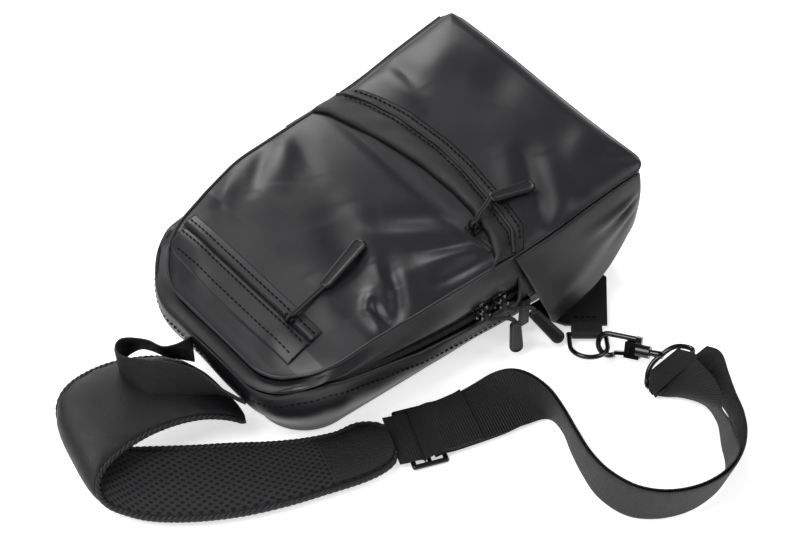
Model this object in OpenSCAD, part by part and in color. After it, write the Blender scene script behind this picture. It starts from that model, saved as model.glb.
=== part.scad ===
// Sling bag lying on its back panel: X along the bag, +X towards the wide end, Z up.
// Every size is in millimetres.

/* [Body] */
// Length of the body, narrow end to wide end
body_l = 288; // [230:1:350]
// Width at the wide end
wide_w = 192; // [160:1:230]
// Width at the narrow end, before its corners are rounded
narrow_w = 164; // [130:1:200]
// Corner radius in plan at the narrow end
corner_r = 48; // [30:1:60]
// Corner radius in plan at the wide end
wide_r = 12; // [6:1:30]
// Height of the front at the wide end
wide_h = 98; // [75:1:120]
// Height of the front half way along
mid_h = 82; // [66:1:100]
// Height of the front at the narrow tip
narrow_h = 52; // [46:1:60]
// Wall of the gussets and panels
wall = 2; // [1.2:0.1:3]
// Undercut of the lower edge
under = 14; // [6:1:20]

/* [Back] */
// Thickness of the back mesh pads
mesh_t = 3; // [2:0.5:5]
// Thickness of the back foam
foam_t = 5; // [3:0.5:8]
// Width of the air channel between the mesh pads
channel_w = 16; // [8:1:30]

/* [Zippers] */
// Height of the middle of the main zipper
zip_z = 47.5; // [44:0.5:50]
// Visible width of one zipper tape
tape_w = 4.2; // [3:0.1:6]
// Height of one row of teeth
teeth_h = 1.6; // [1.2:0.1:2.2]
// Depth of one row of teeth
teeth_t = 2.4; // [1.8:0.1:3]
// Gap between the two rows of teeth
teeth_gap = 1.4; // [1.2:0.1:2]
// Length of a slider
slider_l = 9; // [7:0.5:12]
// Width of a slider
slider_w = 8; // [6.5:0.5:10]
// Wire of a slider's bail
bail_d = 1.4; // [1:0.1:2]
// Diameter of a puller's cord
cord_d = 1.6; // [1.2:0.1:2.4]
// Length of a pull tab
tab_l = 36; // [24:1:42]
// Width of a pull tab
tab_w = 9; // [7:0.5:12]
// Thickness of a pull tab
tab_t = 3.2; // [2.4:0.1:4.5]
// Place of the pocket zipper along the body
pocket_x = -103; // [-108:1:-98]
// Half length of the pocket zipper
pocket_half = 55; // [40:1:58]
// Place of the band along the body
band_x = 46; // [42:1:50]
// Width of the band
band_w = 26; // [20:1:32]

/* [Shoulder strap] */
// Width of the shoulder webbing
web_w = 38; // [30:1:50]
// Thickness of the shoulder webbing
web_t = 1.5; // [1:0.1:2.5]
// Thickness of the shoulder pad's foam
pad_foam_t = 6; // [4:0.5:10]
// Thickness of the pad's cover
pad_skin_t = 1.4; // [1:0.1:2]
// Thickness of the pad's mesh lining
pad_mesh_t = 2; // [1:0.1:3]
// Width of the handle webbing
handle_w = 25; // [20:1:32]
// Thickness of the handle webbing
handle_t = 1.8; // [1.2:0.1:2.5]

/* [Metal fittings] */
// Width of the ring webbing
ring_web_w = 20; // [16:1:25]
// Wire of the D-rings
ring_d = 3.2; // [2.4:0.1:4]
// Depth of the straight legs of the D-rings
ring_leg = 13; // [8:1:18]
// Wire of the swivel eye
eye_d = 3.4; // [2.6:0.1:4]
// Depth of the swivel eye, bar to bar
eye_depth = 15; // [12:1:20]
// Length of the swivel hook, nose to swivel
hook_l = 37; // [34:1:44]
// Wire of the hook's nose
hook_d = 3.6; // [3:0.1:4.4]
// Wire of the tri-glide's frame
glide_d = 3.4; // [2.8:0.1:4.2]
// Depth of the tri-glide
glide_l = 24; // [22:1:30]

/* [Hidden] */
$fn = 48;
eps = 0.01;
fit = 0.3;              // running clearance between soft or loose pieces
skin_gap = 0.1;         // clearance between stacked layers
x_min = -body_l / 2;
x_max = body_l / 2;
taper = atan((wide_w - narrow_w) / 2 / body_l);
back_z = mesh_t;        // underside of the body shell
inner_z = back_z + wall + foam_t + wall;
zip_lo = zip_z - teeth_gap / 2 - teeth_h - tape_w;
zip_hi = zip_z + teeth_gap / 2 + teeth_h + tape_w;
wing_x = 32;            // free edge of the folded wing flaps
zip_end_x = 38;         // where the main zipper runs out of sight
seam = 8;               // border of the rim around the front panel
big = 400;
function half_w(x) = narrow_w / 2 + (wide_w - narrow_w) / 2 * (x - x_min) / body_l;

// Top line of the body from the narrow tip to the wide end: [x, z].
top_line = [
    [x_min - 10, narrow_h - 6], [x_min, narrow_h - 2], [x_min + 8, narrow_h + 6],
    [x_min + 26, mid_h - 15], [x_min + 54, mid_h - 7], [x_min + 94, mid_h - 2],
    [x_min + 144, mid_h], [x_min + 184, mid_h + 2],
    [x_max - 54, (mid_h + wide_h) / 2 + 1], [x_max + 10, wide_h + 1]
];
// Lower line of the body from the wide end back to the narrow tip.
low_line = [
    [x_max + 10, back_z + 30], [x_max - 16, back_z],
    [x_min + 10, back_z], [x_min - 10, back_z + 24]
];
function top_z(x) = lookup(x, top_line);
function slope(x) = atan((top_z(x + 6) - top_z(x - 6)) / 12);

// ---------- general shapes ----------

function unit(v) = v / norm(v);

// Moves local X and Z onto two directions at a point.
module place(at, x_dir, z_dir) {
    x = unit(x_dir);
    y = unit(cross(z_dir, x));
    z = cross(x, y);
    multmatrix([
        [x[0], y[0], z[0], at[0]],
        [x[1], y[1], z[1], at[1]],
        [x[2], y[2], z[2], at[2]],
        [0, 0, 0, 1]
    ])
        children();
}

// Bent round wire or cord through a list of points, as one closed sweep.
module wire(points, d, sides = 10) {
    n = len(points);
    closed = norm(points[n - 1] - points[0]) < eps;
    m = closed ? n - 1 : n;
    tang = [for (i = [0:m - 1])
        let (
            prev = closed ? points[(i + m - 1) % m] : points[max(i - 1, 0)],
            next = closed ? points[(i + 1) % m] : points[min(i + 1, m - 1)],
            into = norm(points[i] - prev) < eps ? unit(next - points[i]) : unit(points[i] - prev),
            away = norm(next - points[i]) < eps ? into : unit(next - points[i])
        )
            unit(into + away)];
    flat = unit(cross(points[1] - points[0], points[2] - points[1]) + [0.001, 0.002, 0.003]);
    rings = [for (i = [0:m - 1])
        let (
            u = unit(cross(flat, tang[i])),
            v = unit(cross(tang[i], u))
        )
            [for (k = [0:sides - 1])
                points[i] + (u * cos(360 * k / sides) + v * sin(360 * k / sides)) * d / 2]];
    verts = [for (r = rings) for (q = r) q];
    side_faces = [for (i = [0:closed ? m - 1 : m - 2]) for (k = [0:sides - 1]) for (t = [0, 1])
        let (
            j = (i + 1) % m,
            a = sides * i + k,
            b = sides * i + (k + 1) % sides,
            c = sides * j + k,
            e = sides * j + (k + 1) % sides
        )
            t == 0 ? [a, e, b] : [a, c, e]];
    caps = closed ? [] : concat(
        [for (k = [1:sides - 2]) [0, k, k + 1]],
        [for (k = [1:sides - 2]) [sides * (m - 1), sides * (m - 1) + k + 1, sides * (m - 1) + k]]
    );
    polyhedron(points = verts, faces = concat(side_faces, caps));
}

// Bar with round ends, flat in its own XY plane, from 0 to l along X.
module stadium(l, w, t) {
    translate([0, 0, -t / 2])
        linear_extrude(t) {
            translate([w / 2, -w / 2])
                square([l - w, w]);
            translate([w / 2, 0])
                circle(d = w);
            translate([l - w / 2, 0])
                circle(d = w);
        }
}

// Closed ribbon swept along pairs of edge points [near, far].
// It fills the layer from lo to hi along the ribbon's own normal.
module ribbon(pairs, lo, hi) {
    n = len(pairs);
    edge = min(0.4, (hi - lo) / 4);
    mid = [for (q = pairs) (q[0] + q[1]) / 2];
    rings = [for (i = [0:n - 1])
        let (
            tang = unit(mid[min(i + 1, n - 1)] - mid[max(i - 1, 0)]),
            w = unit(pairs[i][1] - pairs[i][0]),
            nrm = unit(cross(tang, w)),
            near = pairs[i][0],
            far = pairs[i][1]
        )
            [far - w * edge + nrm * lo, far + nrm * (lo + edge),
             far + nrm * (hi - edge), far - w * edge + nrm * hi,
             near + w * edge + nrm * hi, near + nrm * (hi - edge),
             near + nrm * (lo + edge), near + w * edge + nrm * lo]];
    points = [for (r = rings) for (q = r) q];
    faces = concat(
        [for (i = [0:n - 2]) for (k = [0:6]) for (t = [0, 1])
            let (a = 8 * i + k, b = a + 1)
                t == 0 ? [a, b + 8, b] : [a, a + 8, b + 8]],
        [for (i = [0:n - 2]) for (t = [0, 1])
            let (a = 8 * i + 7, b = 8 * i)
                t == 0 ? [a, a + 8, b] : [a + 8, b + 8, b]],
        [for (k = [1:6]) [0, k, k + 1]],
        [for (k = [1:6]) [8 * (n - 1), 8 * (n - 1) + k + 1, 8 * (n - 1) + k]]
    );
    polyhedron(points = points, faces = faces);
}

// Edge points of a route of [point, width direction].
function edges(list, w) = [for (q = list) [q[0] - unit(q[1]) * w / 2, q[0] + unit(q[1]) * w / 2]];

// ---------- body envelope ----------

// Plan of the body, inset by i.
module plan(i) {
    r = corner_r - i;
    q = max(wide_r - i, 1);
    xn = x_min + corner_r;
    xw = x_max - i - q;
    wn = half_w(xn) - i;
    ww = half_w(xw) - i;
    polygon([[xn, -wn], [xw, -ww], [xw, ww], [xn, wn]]);
    translate([x_min + i, -(wn - r)])
        square([r + eps, 2 * (wn - r)]);
    translate([xw - eps, -(ww - q)])
        square([q + eps, 2 * (ww - q)]);
    for (s = [-1, 1]) {
        translate([xn, s * (wn - r)])
            circle(r = r, $fn = 96);
        translate([xw, s * (ww - q)])
            circle(r = q);
    }
}

// Side view of the body, inset by i from its top and bottom lines.
module profile(i) {
    polygon(concat(
        [for (p = top_line) [p[0], p[1] - i]],
        [for (p = low_line) [p[0], p[1] + i]]
    ));
}

// Solid envelope of the body, inset by i all round.
module envelope(i) {
    difference() {
        intersection() {
            linear_extrude(wide_h + 20)
                plan(i);
            rotate([90, 0, 0])
                linear_extrude(big, center = true)
                    profile(i);
        }
        for (s = [0, 1])
            mirror([0, s, 0])
                translate([0, half_w(0) - under, back_z + i * sqrt(2)])
                    rotate([0, 0, taper])
                        undercut();
        for (s = [0, 1])
            mirror([0, s, 0])
                translate([x_min + corner_r, half_w(x_min + corner_r) - corner_r, back_z + i * sqrt(2)])
                    rotate([0, 0, 45])
                        translate([0, corner_r - under, 0])
                            undercut();
    }
}

// Half space below a 45 degree slope that rises towards +Y.
module undercut() {
    rotate([45, 0, 0])
        translate([-big / 2, -30, -60])
            cube([big, 120, 60]);
}

// Slab that keeps what lies between two x and two z.
module zone(x0, x1, z0, z1) {
    translate([x0, -big / 2, z0])
        cube([x1 - x0, big, z1 - z0]);
}

// Wall of the body between two insets, inside a zone.
module wall_zone(i0, i1, x0, x1, z0, z1) {
    intersection() {
        difference() {
            envelope(i0);
            envelope(i1);
        }
        zone(x0, x1, z0, z1);
    }
}

// Straight wall ring between two insets and two heights, short of the wings.
module zip_ring(i0, i1, z0, z1, x1) {
    difference() {
        translate([0, 0, z0])
            linear_extrude(z1 - z0)
                difference() {
                    plan(i0);
                    plan(i1);
                }
        zone(x1, big, z0 - 1, z1 + 1);
    }
}

// ---------- back ----------

channel_y = 30;         // the two air channels lie either side of the middle
channel_end = 30;       // solid border beyond a channel's end
module back_mesh() {
    color("dimgray")
        linear_extrude(mesh_t)
            difference() {
                plan(under + 4);
                for (s = [-1, 1])
                    translate([x_min + channel_end, s * channel_y - channel_w / 2])
                        square([body_l - 2 * channel_end, channel_w]);
            }
}

module back_panel() {
    color("gray")
        translate([0, 0, back_z])
            linear_extrude(wall)
                plan(under + 2);
}

module back_foam() {
    color("gainsboro")
        translate([0, 0, back_z + wall])
            linear_extrude(foam_t)
                plan(under + 4);
}

// ---------- gussets and lining ----------

module lower_gusset() {
    color("#303034")
        difference() {
            wall_zone(0, wall, x_min - 1, x_max + 1, back_z, zip_lo);
            translate([0, 0, back_z - 1])
                linear_extrude(wall + 2)
                    plan(under + 2);
        }
}

module wide_gusset() {
    color("#35353a")
        difference() {
            wall_zone(0, wall, zip_end_x + 12, x_max + 1, zip_lo, wide_h + 10);
            translate([0, 0, zip_lo])
                linear_extrude(wide_h)
                    plan(seam);
        }
}

module upper_gusset() {
    color("#2b2b2f")
        difference() {
            union() {
                wall_zone(0, wall, x_min - 1, zip_end_x + 12, zip_hi, wide_h);
                wall_zone(0, wall, zip_end_x, zip_end_x + 12, zip_lo, zip_hi);
            }
            translate([0, 0, zip_lo - 1])
                linear_extrude(wide_h)
                    plan(seam);
        }
}

module lining_tray() {
    color("#55555c")
        difference() {
            wall_zone(wall + skin_gap, wall + 1, x_min, x_max, back_z, zip_lo - 1.5);
            translate([0, 0, back_z])
                linear_extrude(wall + foam_t)
                    plan(under + 3);
        }
    color("#55555c")
        translate([0, 0, back_z + wall + foam_t])
            linear_extrude(wall)
                plan(under + 3.5);
}

sleeve_l = 190;
sleeve_w = 120;
sleeve_h = 12;
sleeve_t = 1.2;
module inner_sleeve() {
    color("#6a6a72")
        difference() {
            translate([-sleeve_l / 2, -sleeve_w / 2, inner_z])
                cube([sleeve_l, sleeve_w, sleeve_h]);
            translate([-sleeve_l / 2 - 1, -sleeve_w / 2 + sleeve_t, inner_z - 1])
                cube([sleeve_l + 1 - sleeve_t, sleeve_w - 2 * sleeve_t, sleeve_h + 1 - sleeve_t]);
        }
}

// ---------- main zipper ----------

tape_in = 0.6;
tape_t = 1;
module zip_tape_lower() {
    color("#222226")
        zip_ring(tape_in, tape_in + tape_t, zip_lo, zip_lo + tape_w, zip_end_x);
}

module zip_tape_upper() {
    color("#222226")
        zip_ring(tape_in, tape_in + tape_t, zip_hi - tape_w, zip_hi, zip_end_x);
}

module teeth_ring(z) {
    teeth_in = tape_in + tape_t / 2 - teeth_t / 2;
    zip_ring(teeth_in, teeth_in + teeth_t, z, z + teeth_h, zip_end_x);
}

module zip_teeth_lower() {
    color("#141416")
        teeth_ring(zip_lo + tape_w);
}

module zip_teeth_upper() {
    color("#141416")
        teeth_ring(zip_z + teeth_gap / 2);
}

// ---------- front panels, band and pockets ----------

band_lo = band_x - band_w / 2;
band_hi = band_x + band_w / 2;
pocket_slot = 11;       // width of the pocket zipper's window
band_zip_x = band_lo - 7;
band_slot = 11;
band_half = 78;

// Skin of the front between two x, inside the rim.
module front_skin(x0, x1, thick) {
    intersection() {
        difference() {
            envelope(0);
            envelope(thick);
        }
        translate([0, 0, narrow_h - 20])
            linear_extrude(wide_h)
                plan(seam + skin_gap);
        zone(x0, x1, 0, wide_h + 20);
    }
}

// Local frame of a cross zipper: X along the zipper (+Y of the bag), Z out of the front.
module on_front(x, y) {
    translate([x, y, top_z(x)])
        rotate([0, -slope(x), 0])
            rotate([0, 0, 90])
                children();
}

module slot_box(x, half, w) {
    on_front(x, 0)
        translate([-half - 1, -w / 2, -12])
            cube([2 * half + 2, w, 24]);
}

module front_panel_lower() {
    color("#3a3a3e")
        difference() {
            front_skin(x_min, band_lo, wall);
            slot_box(pocket_x, pocket_half, pocket_slot);
            slot_box(band_zip_x, band_half, band_slot);
        }
}

module front_panel_upper() {
    color("#3a3a3e")
        front_skin(band_lo + skin_gap, x_max, wall);
}

// The band lies over the upper panel; its ends turn down at the rim.
band_t = 2.4;
module front_band() {
    color("#2a2a2e")
        intersection() {
            translate([0, 0, skin_gap])
                difference() {
                    translate([0, 0, band_t])
                        envelope(0);
                    envelope(0);
                }
            linear_extrude(wide_h + 20)
                plan(2);
            zone(band_lo, band_hi, mid_h - 12, wide_h + 20);
        }
}

module cross_tapes(x, half, w) {
    on_front(x, 0)
        for (s = [-1, 1])
            translate([-half, s > 0 ? teeth_gap / 2 + teeth_h : -w / 2 + skin_gap, -wall])
                cube([2 * half, w / 2 - teeth_gap / 2 - teeth_h - skin_gap, tape_t]);
}

module cross_teeth(x, half) {
    on_front(x, 0)
        for (s = [-1, 1])
            translate([-half, s > 0 ? teeth_gap / 2 : -teeth_gap / 2 - teeth_h,
                       -wall + tape_t / 2 - teeth_t / 2])
                cube([2 * half, teeth_h, teeth_t]);
}

module band_zip_tape() {
    color("#222226")
        cross_tapes(band_zip_x, band_half, band_slot);
}

module band_zip_teeth() {
    color("#141416")
        cross_teeth(band_zip_x, band_half);
}

module pocket_zip_tape() {
    color("#222226")
        cross_tapes(pocket_x, pocket_half, pocket_slot);
}

module pocket_zip_teeth() {
    color("#141416")
        cross_teeth(pocket_x, pocket_half);
}

strip_w = 14;
strip_t = 1.2;
module pocket_strip() {
    color("#2e2e32")
        on_front(pocket_x - pocket_slot / 2 - strip_w / 2 - 1, 0)
            translate([-pocket_half, -strip_w / 2, 0.4])
                cube([2 * pocket_half, strip_w, strip_t]);
}

// Open-topped liner box hanging under a cross zipper.
module liner(x0, x1, half, z0, z1) {
    difference() {
        translate([x0, -half, z0])
            cube([x1 - x0, 2 * half, z1 - z0]);
        translate([x0 + 1, -half + 1, z0 + 1])
            cube([x1 - x0 - 2, 2 * half - 2, z1 - z0]);
    }
}

liner_top = 0.7;
module pocket_liner() {
    color("#5c5c64")
        intersection() {
            liner(pocket_x - 9, 0, pocket_half + 3, zip_hi + 2, mid_h);
            envelope(wall + liner_top);
        }
}

module band_liner() {
    color("#5c5c64")
        intersection() {
            liner(band_zip_x - 8, x_max - 16, band_half - 2, zip_hi + 2, wide_h);
            envelope(wall + liner_top);
        }
}

// ---------- wings, tabs and rings ----------

wing_t = 2.2;
wing_set = 2;           // how far a wing's top sits into the rolled edge
wing_flare = 9;         // how far a wing leans out, in degrees
wing_end = x_max - wide_r - 2;
module wing() {
    translate([0, 0, wide_h])
        rotate([-wing_flare, 0, 0])
            translate([0, 0, -wide_h])
                rotate([90, 0, 0])
                    linear_extrude(wing_t)
                        polygon([[wing_x, top_z(wing_x) - 6], [wing_x + 20, 26],
                                 [wing_x + 30, 9], [wing_x + 38, 7.4], [wing_x + 60, 14],
                                 [wing_x + 88, 25], [wing_end, 34], [wing_end, top_z(x_max) - 10]]);
}

module wing_place(s) {
    mirror([0, s > 0 ? 1 : 0, 0])
        translate([0, -half_w(0) - fit, 0])
            rotate([0, 0, -taper])
                children();
}

// Wing pushed onto the side wall, with the wall cut out of it.
module seated_wing(s) {
    difference() {
        wing_place(s)
            translate([0, wing_set, 0])
                wing();
        envelope(0);
    }
}

module wing_near() {
    color("#333338")
        seated_wing(-1);
}

module wing_far() {
    color("#333338")
        seated_wing(1);
}

module zip_end_tab() {
    color("#26262a")
        wing_place(-1)
            translate([wing_x + 6, -4, zip_lo - 28])
                cube([6, 3.8, 24]);
}

// Plan frame of the near ring fittings: X along the straight bar, Y outwards.
ring_at = [71, -123];
ring_turn = -40.5;
ring_z = 4.6;           // height of the ring's wire
tab_t2 = 2;
tab_bot = ring_z - tab_t2 / 2;
ring_tilt = 14;         // how far the near ring is lifted by the hook
loop_t = 1.2;
loop_back = 8;          // length of the webbing loop behind the bar

module ring_frame() {
    translate([ring_at[0], ring_at[1], 0])
        rotate([0, 0, ring_turn])
            children();
}

// Triangular tab from the back seam out to the ring webbing.
module ring_tab() {
    translate([0, 0, tab_bot])
        linear_extrude(tab_t2)
            difference() {
                polygon([[58, -60], [116, -60], [116, -96], [86.8, -126], [65.6, -107.8], [58, -92]]);
                plan(under + back_z - tab_bot - tab_t2 - skin_gap);
            }
}

module ring_tab_near() {
    color("#2c2c30")
        ring_tab();
}

module ring_tab_far() {
    color("#2c2c30")
        mirror([0, 1, 0])
            ring_tab();
}

// Webbing loop round the ring's straight bar, sewn behind it.
module ring_loop() {
    r_in = ring_d / 2 + 0.2;
    r_out = r_in + loop_t;
    ring_frame()
        translate([-ring_web_w / 2, 0, ring_z])
            rotate([90, 0, 90])
                linear_extrude(ring_web_w)
                    difference() {
                        union() {
                            circle(r = r_out);
                            translate([0, -r_out])
                                square([loop_back - skin_gap, 2 * r_out]);
                        }
                        circle(r = r_in);
                    }
}

module ring_loop_near() {
    color("#1c1c1e")
        ring_loop();
}

module ring_loop_far() {
    color("#1c1c1e")
        mirror([0, 1, 0])
            ring_loop();
}

ring_half = ring_web_w / 2 + 0.6 + ring_d / 2;
module d_ring(tilt) {
    ring_frame()
        translate([0, 0, ring_z])
            rotate([-tilt, 0, 0]) {
            for (s = [-1, 1]) {
                translate([s * ring_half, -ring_leg, 0])
                    rotate([-90, 0, 0])
                        cylinder(h = ring_leg, d = ring_d, $fn = 24);
                translate([s * ring_half, 0, 0])
                    sphere(d = ring_d, $fn = 24);
            }
            translate([-ring_half, 0, 0])
                rotate([0, 90, 0])
                    cylinder(h = 2 * ring_half, d = ring_d, $fn = 24);
            translate([0, -ring_leg, 0])
                rotate([0, 0, 180])
                    rotate_extrude(angle = 180, $fn = 64)
                        translate([ring_half, 0])
                            circle(d = ring_d, $fn = 24);
        }
}

module d_ring_near() {
    color("#0e0e10")
        d_ring(ring_tilt);
}

module d_ring_far() {
    color("#0e0e10")
        mirror([0, 1, 0])
            d_ring(0);
}

// ---------- swivel hook ----------

hook_nose = [73.3, -140.3, 8.2];
hook_dir = unit([-0.43, 0.885, -0.17]);
hook_up = [-0.80, -0.30, 0.52];
eye_a = unit([0.35, 0.93, -0.1]);
eye_b = unit([0.76, -0.235, 0.6]);
pin_gap = 0.08;         // running clearance round a turning pin
hook_bore = 1.7;        // radius of the swivel post
nose_r = 7.2;           // centre-line radius of the nose
nose_x = hook_l - nose_r - hook_d / 2;
hook_end = hook_nose - hook_dir * nose_x;
eye_set = 7.5;          // distance from the hook's barrel back to the eye
barrel_l = 9;
barrel_r = 4.2;
gate_w = 3;
gate_pin = [14, 3.2];   // pivot of the gate in the hook's frame

// Local frame of the hook: X from the swivel towards the nose, Z up from its flat side.
module hook_frame() {
    place(hook_end, hook_dir, hook_up)
        children();
}

module hook_body() {
    color("#101012")
        hook_frame() {
            difference() {
                rotate([0, 90, 0])
                    cylinder(h = barrel_l, r = barrel_r);
                translate([-1, 0, 0])
                    rotate([0, 90, 0])
                        cylinder(h = 4.6, r = hook_bore + pin_gap);
                translate([3, 0, 0])
                    rotate([0, 90, 0])
                        cylinder(h = 3.2, r = hook_bore + 1.1);
            }
            translate([barrel_l - 3, -nose_r - hook_d / 2, -hook_d / 2])
                cube([4, nose_r + hook_d / 2, hook_d]);
            for (s = [-1, 1])
                translate([barrel_l - 2.5, -5, s > 0 ? gate_w / 2 + 0.1 : -gate_w / 2 - 1.3])
                    difference() {
                        cube([gate_pin[0] - barrel_l + 5.1, gate_pin[1] + 7.6, 1.2]);
                        translate([gate_pin[0] - barrel_l + 2.5, gate_pin[1] + 5, -1])
                            cylinder(h = 4, r = 1.02);
                    }
            translate([barrel_l - 3, -nose_r, 0])
                rotate([0, 90, 0])
                    cylinder(h = nose_x - barrel_l + 3, d = hook_d, $fn = 24);
            translate([nose_x, 0, 0])
                rotate([0, 0, -90])
                    rotate_extrude(angle = 215, $fn = 64)
                        translate([nose_r, 0])
                            circle(d = hook_d, $fn = 24);
        }
}

module hook_gate() {
    color("#18181a")
        hook_frame()
            difference() {
                union() {
                    translate([gate_pin[0], gate_pin[1], 0])
                        cylinder(h = gate_w, r = 2.6, center = true);
                    translate([gate_pin[0], gate_pin[1] - 1.2, -gate_w / 2])
                        rotate([0, 0, 8])
                            cube([nose_x - gate_pin[0] - 4.2, 2.4, gate_w]);
                }
                translate([gate_pin[0], gate_pin[1], -5])
                    cylinder(h = 10, r = 1.05);
            }
}

module hook_rivet() {
    color("#202022")
        hook_frame()
            translate([gate_pin[0], gate_pin[1], 0])
                for (s = [0, 1])
                    mirror([0, 0, s]) {
                        cylinder(h = gate_w / 2 + 1.9, r = 1);
                        translate([0, 0, gate_w / 2 + 1.32])
                            cylinder(h = 0.7, r = 1.7);
                    }
}

module hook_eye() {
    half = web_w / 2 + 0.8 + eye_d / 2;
    bar = hook_end - hook_dir * eye_set - eye_a * eye_depth;
    top = bar + eye_a * eye_depth;
    color("#0e0e10") {
        wire([bar - eye_b * half, bar + eye_b * half, top + eye_b * (half - 11),
              top - eye_b * (half - 11), bar - eye_b * half], eye_d);
        hook_frame() {
            translate([-eye_set, 0, 0])
                rotate([0, 90, 0])
                    cylinder(h = eye_set + 4.8, r = hook_bore);
            translate([3.2, 0, 0])
                rotate([0, 90, 0])
                    cylinder(h = 2.8, r = hook_bore + 0.9);
        }
    }
}

// ---------- shoulder webbing ----------

// Hand-laid route of the webbing: [x, y, z], then its width direction.
route = [
    [[-62.7, -114.9, 5.8], [0.39, 0.92, 0.00]],
    [[-56.5, -117.5, 6.4], [0.39, 0.92, 0.00]],
    [[-50, -120, 6], [0.38, 0.92, 0.00]],
    [[-38, -123.5, 6.2], [0.34, 0.94, 0.05]],
    [[-22, -128, 7.6], [0.25, 0.93, 0.25]],
    [[-8, -134, 13.2], [0.10, 0.80, 0.60]],
    [[1, -144, 18.4], [-0.10, 0.45, 0.88]],
    [[4, -157, 19.6], [-0.20, 0.05, 0.98]],
    [[1, -172, 19.6], [-0.24, -0.10, 0.96]],
    [[-5, -187, 19.6], [-0.22, -0.20, 0.95]],
    [[-11, -204, 19.8], [-0.18, -0.22, 0.96]],
    [[-14, -222, 20], [-0.10, -0.20, 0.97]],
    [[-10, -241, 20], [-0.06, -0.18, 0.98]],
    [[2, -255, 20], [-0.06, -0.20, 0.98]],
    [[20, -264, 20], [-0.06, -0.22, 0.97]],
    [[40, -266, 20], [-0.08, -0.24, 0.97]],
    [[58, -261, 20], [-0.14, -0.26, 0.96]]
];
outer_end = [
    [[72, -252, 20], [-0.20, -0.28, 0.94]],
    [[83, -240, 20], [-0.26, -0.30, 0.92]],
    [[90, -226, 20], [-0.24, -0.32, 0.92]],
    [[94, -212, 21.5], [-0.05, -0.38, 0.92]],
    [[94, -200, 23], [0.35, -0.35, 0.87]],
    [[89.2, -189.9, 21.4], [0.62, -0.30, 0.73]]
];
inner_end = [
    [[69, -247, 19.8], [-0.24, -0.32, 0.92]],
    [[77, -236, 19], [-0.36, -0.42, 0.83]],
    [[82, -223, 17.4], [-0.34, -0.55, 0.76]],
    [[84, -211, 16], [0.10, -0.66, 0.74]],
    [[83, -200, 15.2], [0.46, -0.50, 0.73]],
    [[82, -190, 14.6], [0.62, -0.28, 0.73]]
];
layer_gap = 0.5;

module strap_outer() {
    color("#1a1a1c")
        ribbon(edges(concat(route, outer_end), web_w), layer_gap / 2, layer_gap / 2 + web_t);
}

module strap_inner() {
    color("#1a1a1c")
        ribbon(edges(concat(route, inner_end), web_w), -layer_gap / 2 - web_t, -layer_gap / 2);
}

// Tri-glide: frame and centre bar, flat under the webbing's end.
glide_at = [-66, -113.5, 2.1];
glide_dir = unit([0.92, -0.39, 0]);
module glide_frame() {
    place(glide_at, glide_dir, [0, 0, 1])
        children();
}

module tri_glide() {
    half = web_w / 2 + 1 + glide_d / 2;
    x0 = -glide_l / 2 + glide_d / 2;
    x1 = glide_l / 2 - glide_d / 2;
    color("#0c0c0e")
        glide_frame() {
            for (x = [x0, 0, x1])
                translate([x, half, 0])
                    rotate([90, 0, 0])
                        cylinder(h = 2 * half, d = x == 0 ? glide_d - 0.6 : glide_d, $fn = 24);
            for (s = [-1, 1]) {
                translate([x0, s * half, 0])
                    rotate([0, 90, 0])
                        cylinder(h = x1 - x0, d = glide_d, $fn = 24);
                for (x = [x0, x1])
                    translate([x, s * half, 0])
                        sphere(d = glide_d, $fn = 24);
            }
        }
}

// ---------- shoulder pad ----------

pad_half = (pad_skin_t + pad_foam_t + pad_mesh_t) / 2 + skin_gap;
// Hand-laid edges of the pad: [near edge, far edge].
pad_route = [
    [[-147.1, -40, 15], [-147.1, 12, 15]],
    [[-156, -35, 21.5], [-153, 19, 21]],
    [[-168, -28.5, 26], [-163, 26, 26.5]],
    [[-182, -23, 28], [-177, 32, 30.5]],
    [[-198, -19, 28.6], [-193, 36, 34]],
    [[-214, -17.5, 28.4], [-208, 37, 36.4]],
    [[-228, -18, 27], [-221, 36, 37]],
    [[-239, -20, 23.6], [-231, 33, 34.5]],
    [[-245, -23, 18.2], [-237, 28, 28.5]],
    [[-247, -28, 12.6], [-238, 22, 21]],
    [[-245.5, -34, 8.4], [-234, 14, 13.5]],
    [[-241, -42, 6.6], [-226, 5, 8.8]],
    [[-233, -54, 6.2], [-214, -6, 6.8]],
    [[-221, -66, 6.2], [-199, -18, 6.4]],
    [[-204, -79, 6.2], [-181, -32, 6.2]],
    [[-184, -91, 6.2], [-162, -46, 6.2]],
    [[-160, -102, 6.2], [-144, -60, 6.2]],
    [[-138, -110, 6.2], [-126, -72, 6.2]],
    [[-118, -117, 6.2], [-108, -81, 6.2]],
    [[-104, -120, 6.2], [-94, -84, 6.2]],
    [[-94, -119.5, 6.2], [-85, -90, 6.2]],
    [[-87.9, -115.7, 6.2], [-80.1, -97.3, 6.2]]
];
module pad_cover() {
    color("#2e2e32")
        ribbon(pad_route, -pad_half, -pad_half + pad_skin_t);
}

module pad_foam() {
    color("#8a8a90")
        ribbon(pad_route, -pad_half + pad_skin_t + skin_gap, pad_half - pad_mesh_t - skin_gap);
}

module pad_mesh() {
    color("#202022")
        ribbon(pad_route, pad_half - pad_mesh_t, pad_half);
}

// Webbing sewn into the pad's tip, ending in a loop on the tri-glide's near bar.
module pad_tail() {
    color("#1a1a1c")
        glide_frame()
            translate([-19.1, -web_w / 2, 0])
                cube([19.1 - glide_l / 2 - fit, web_w, web_t]);
}

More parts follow.
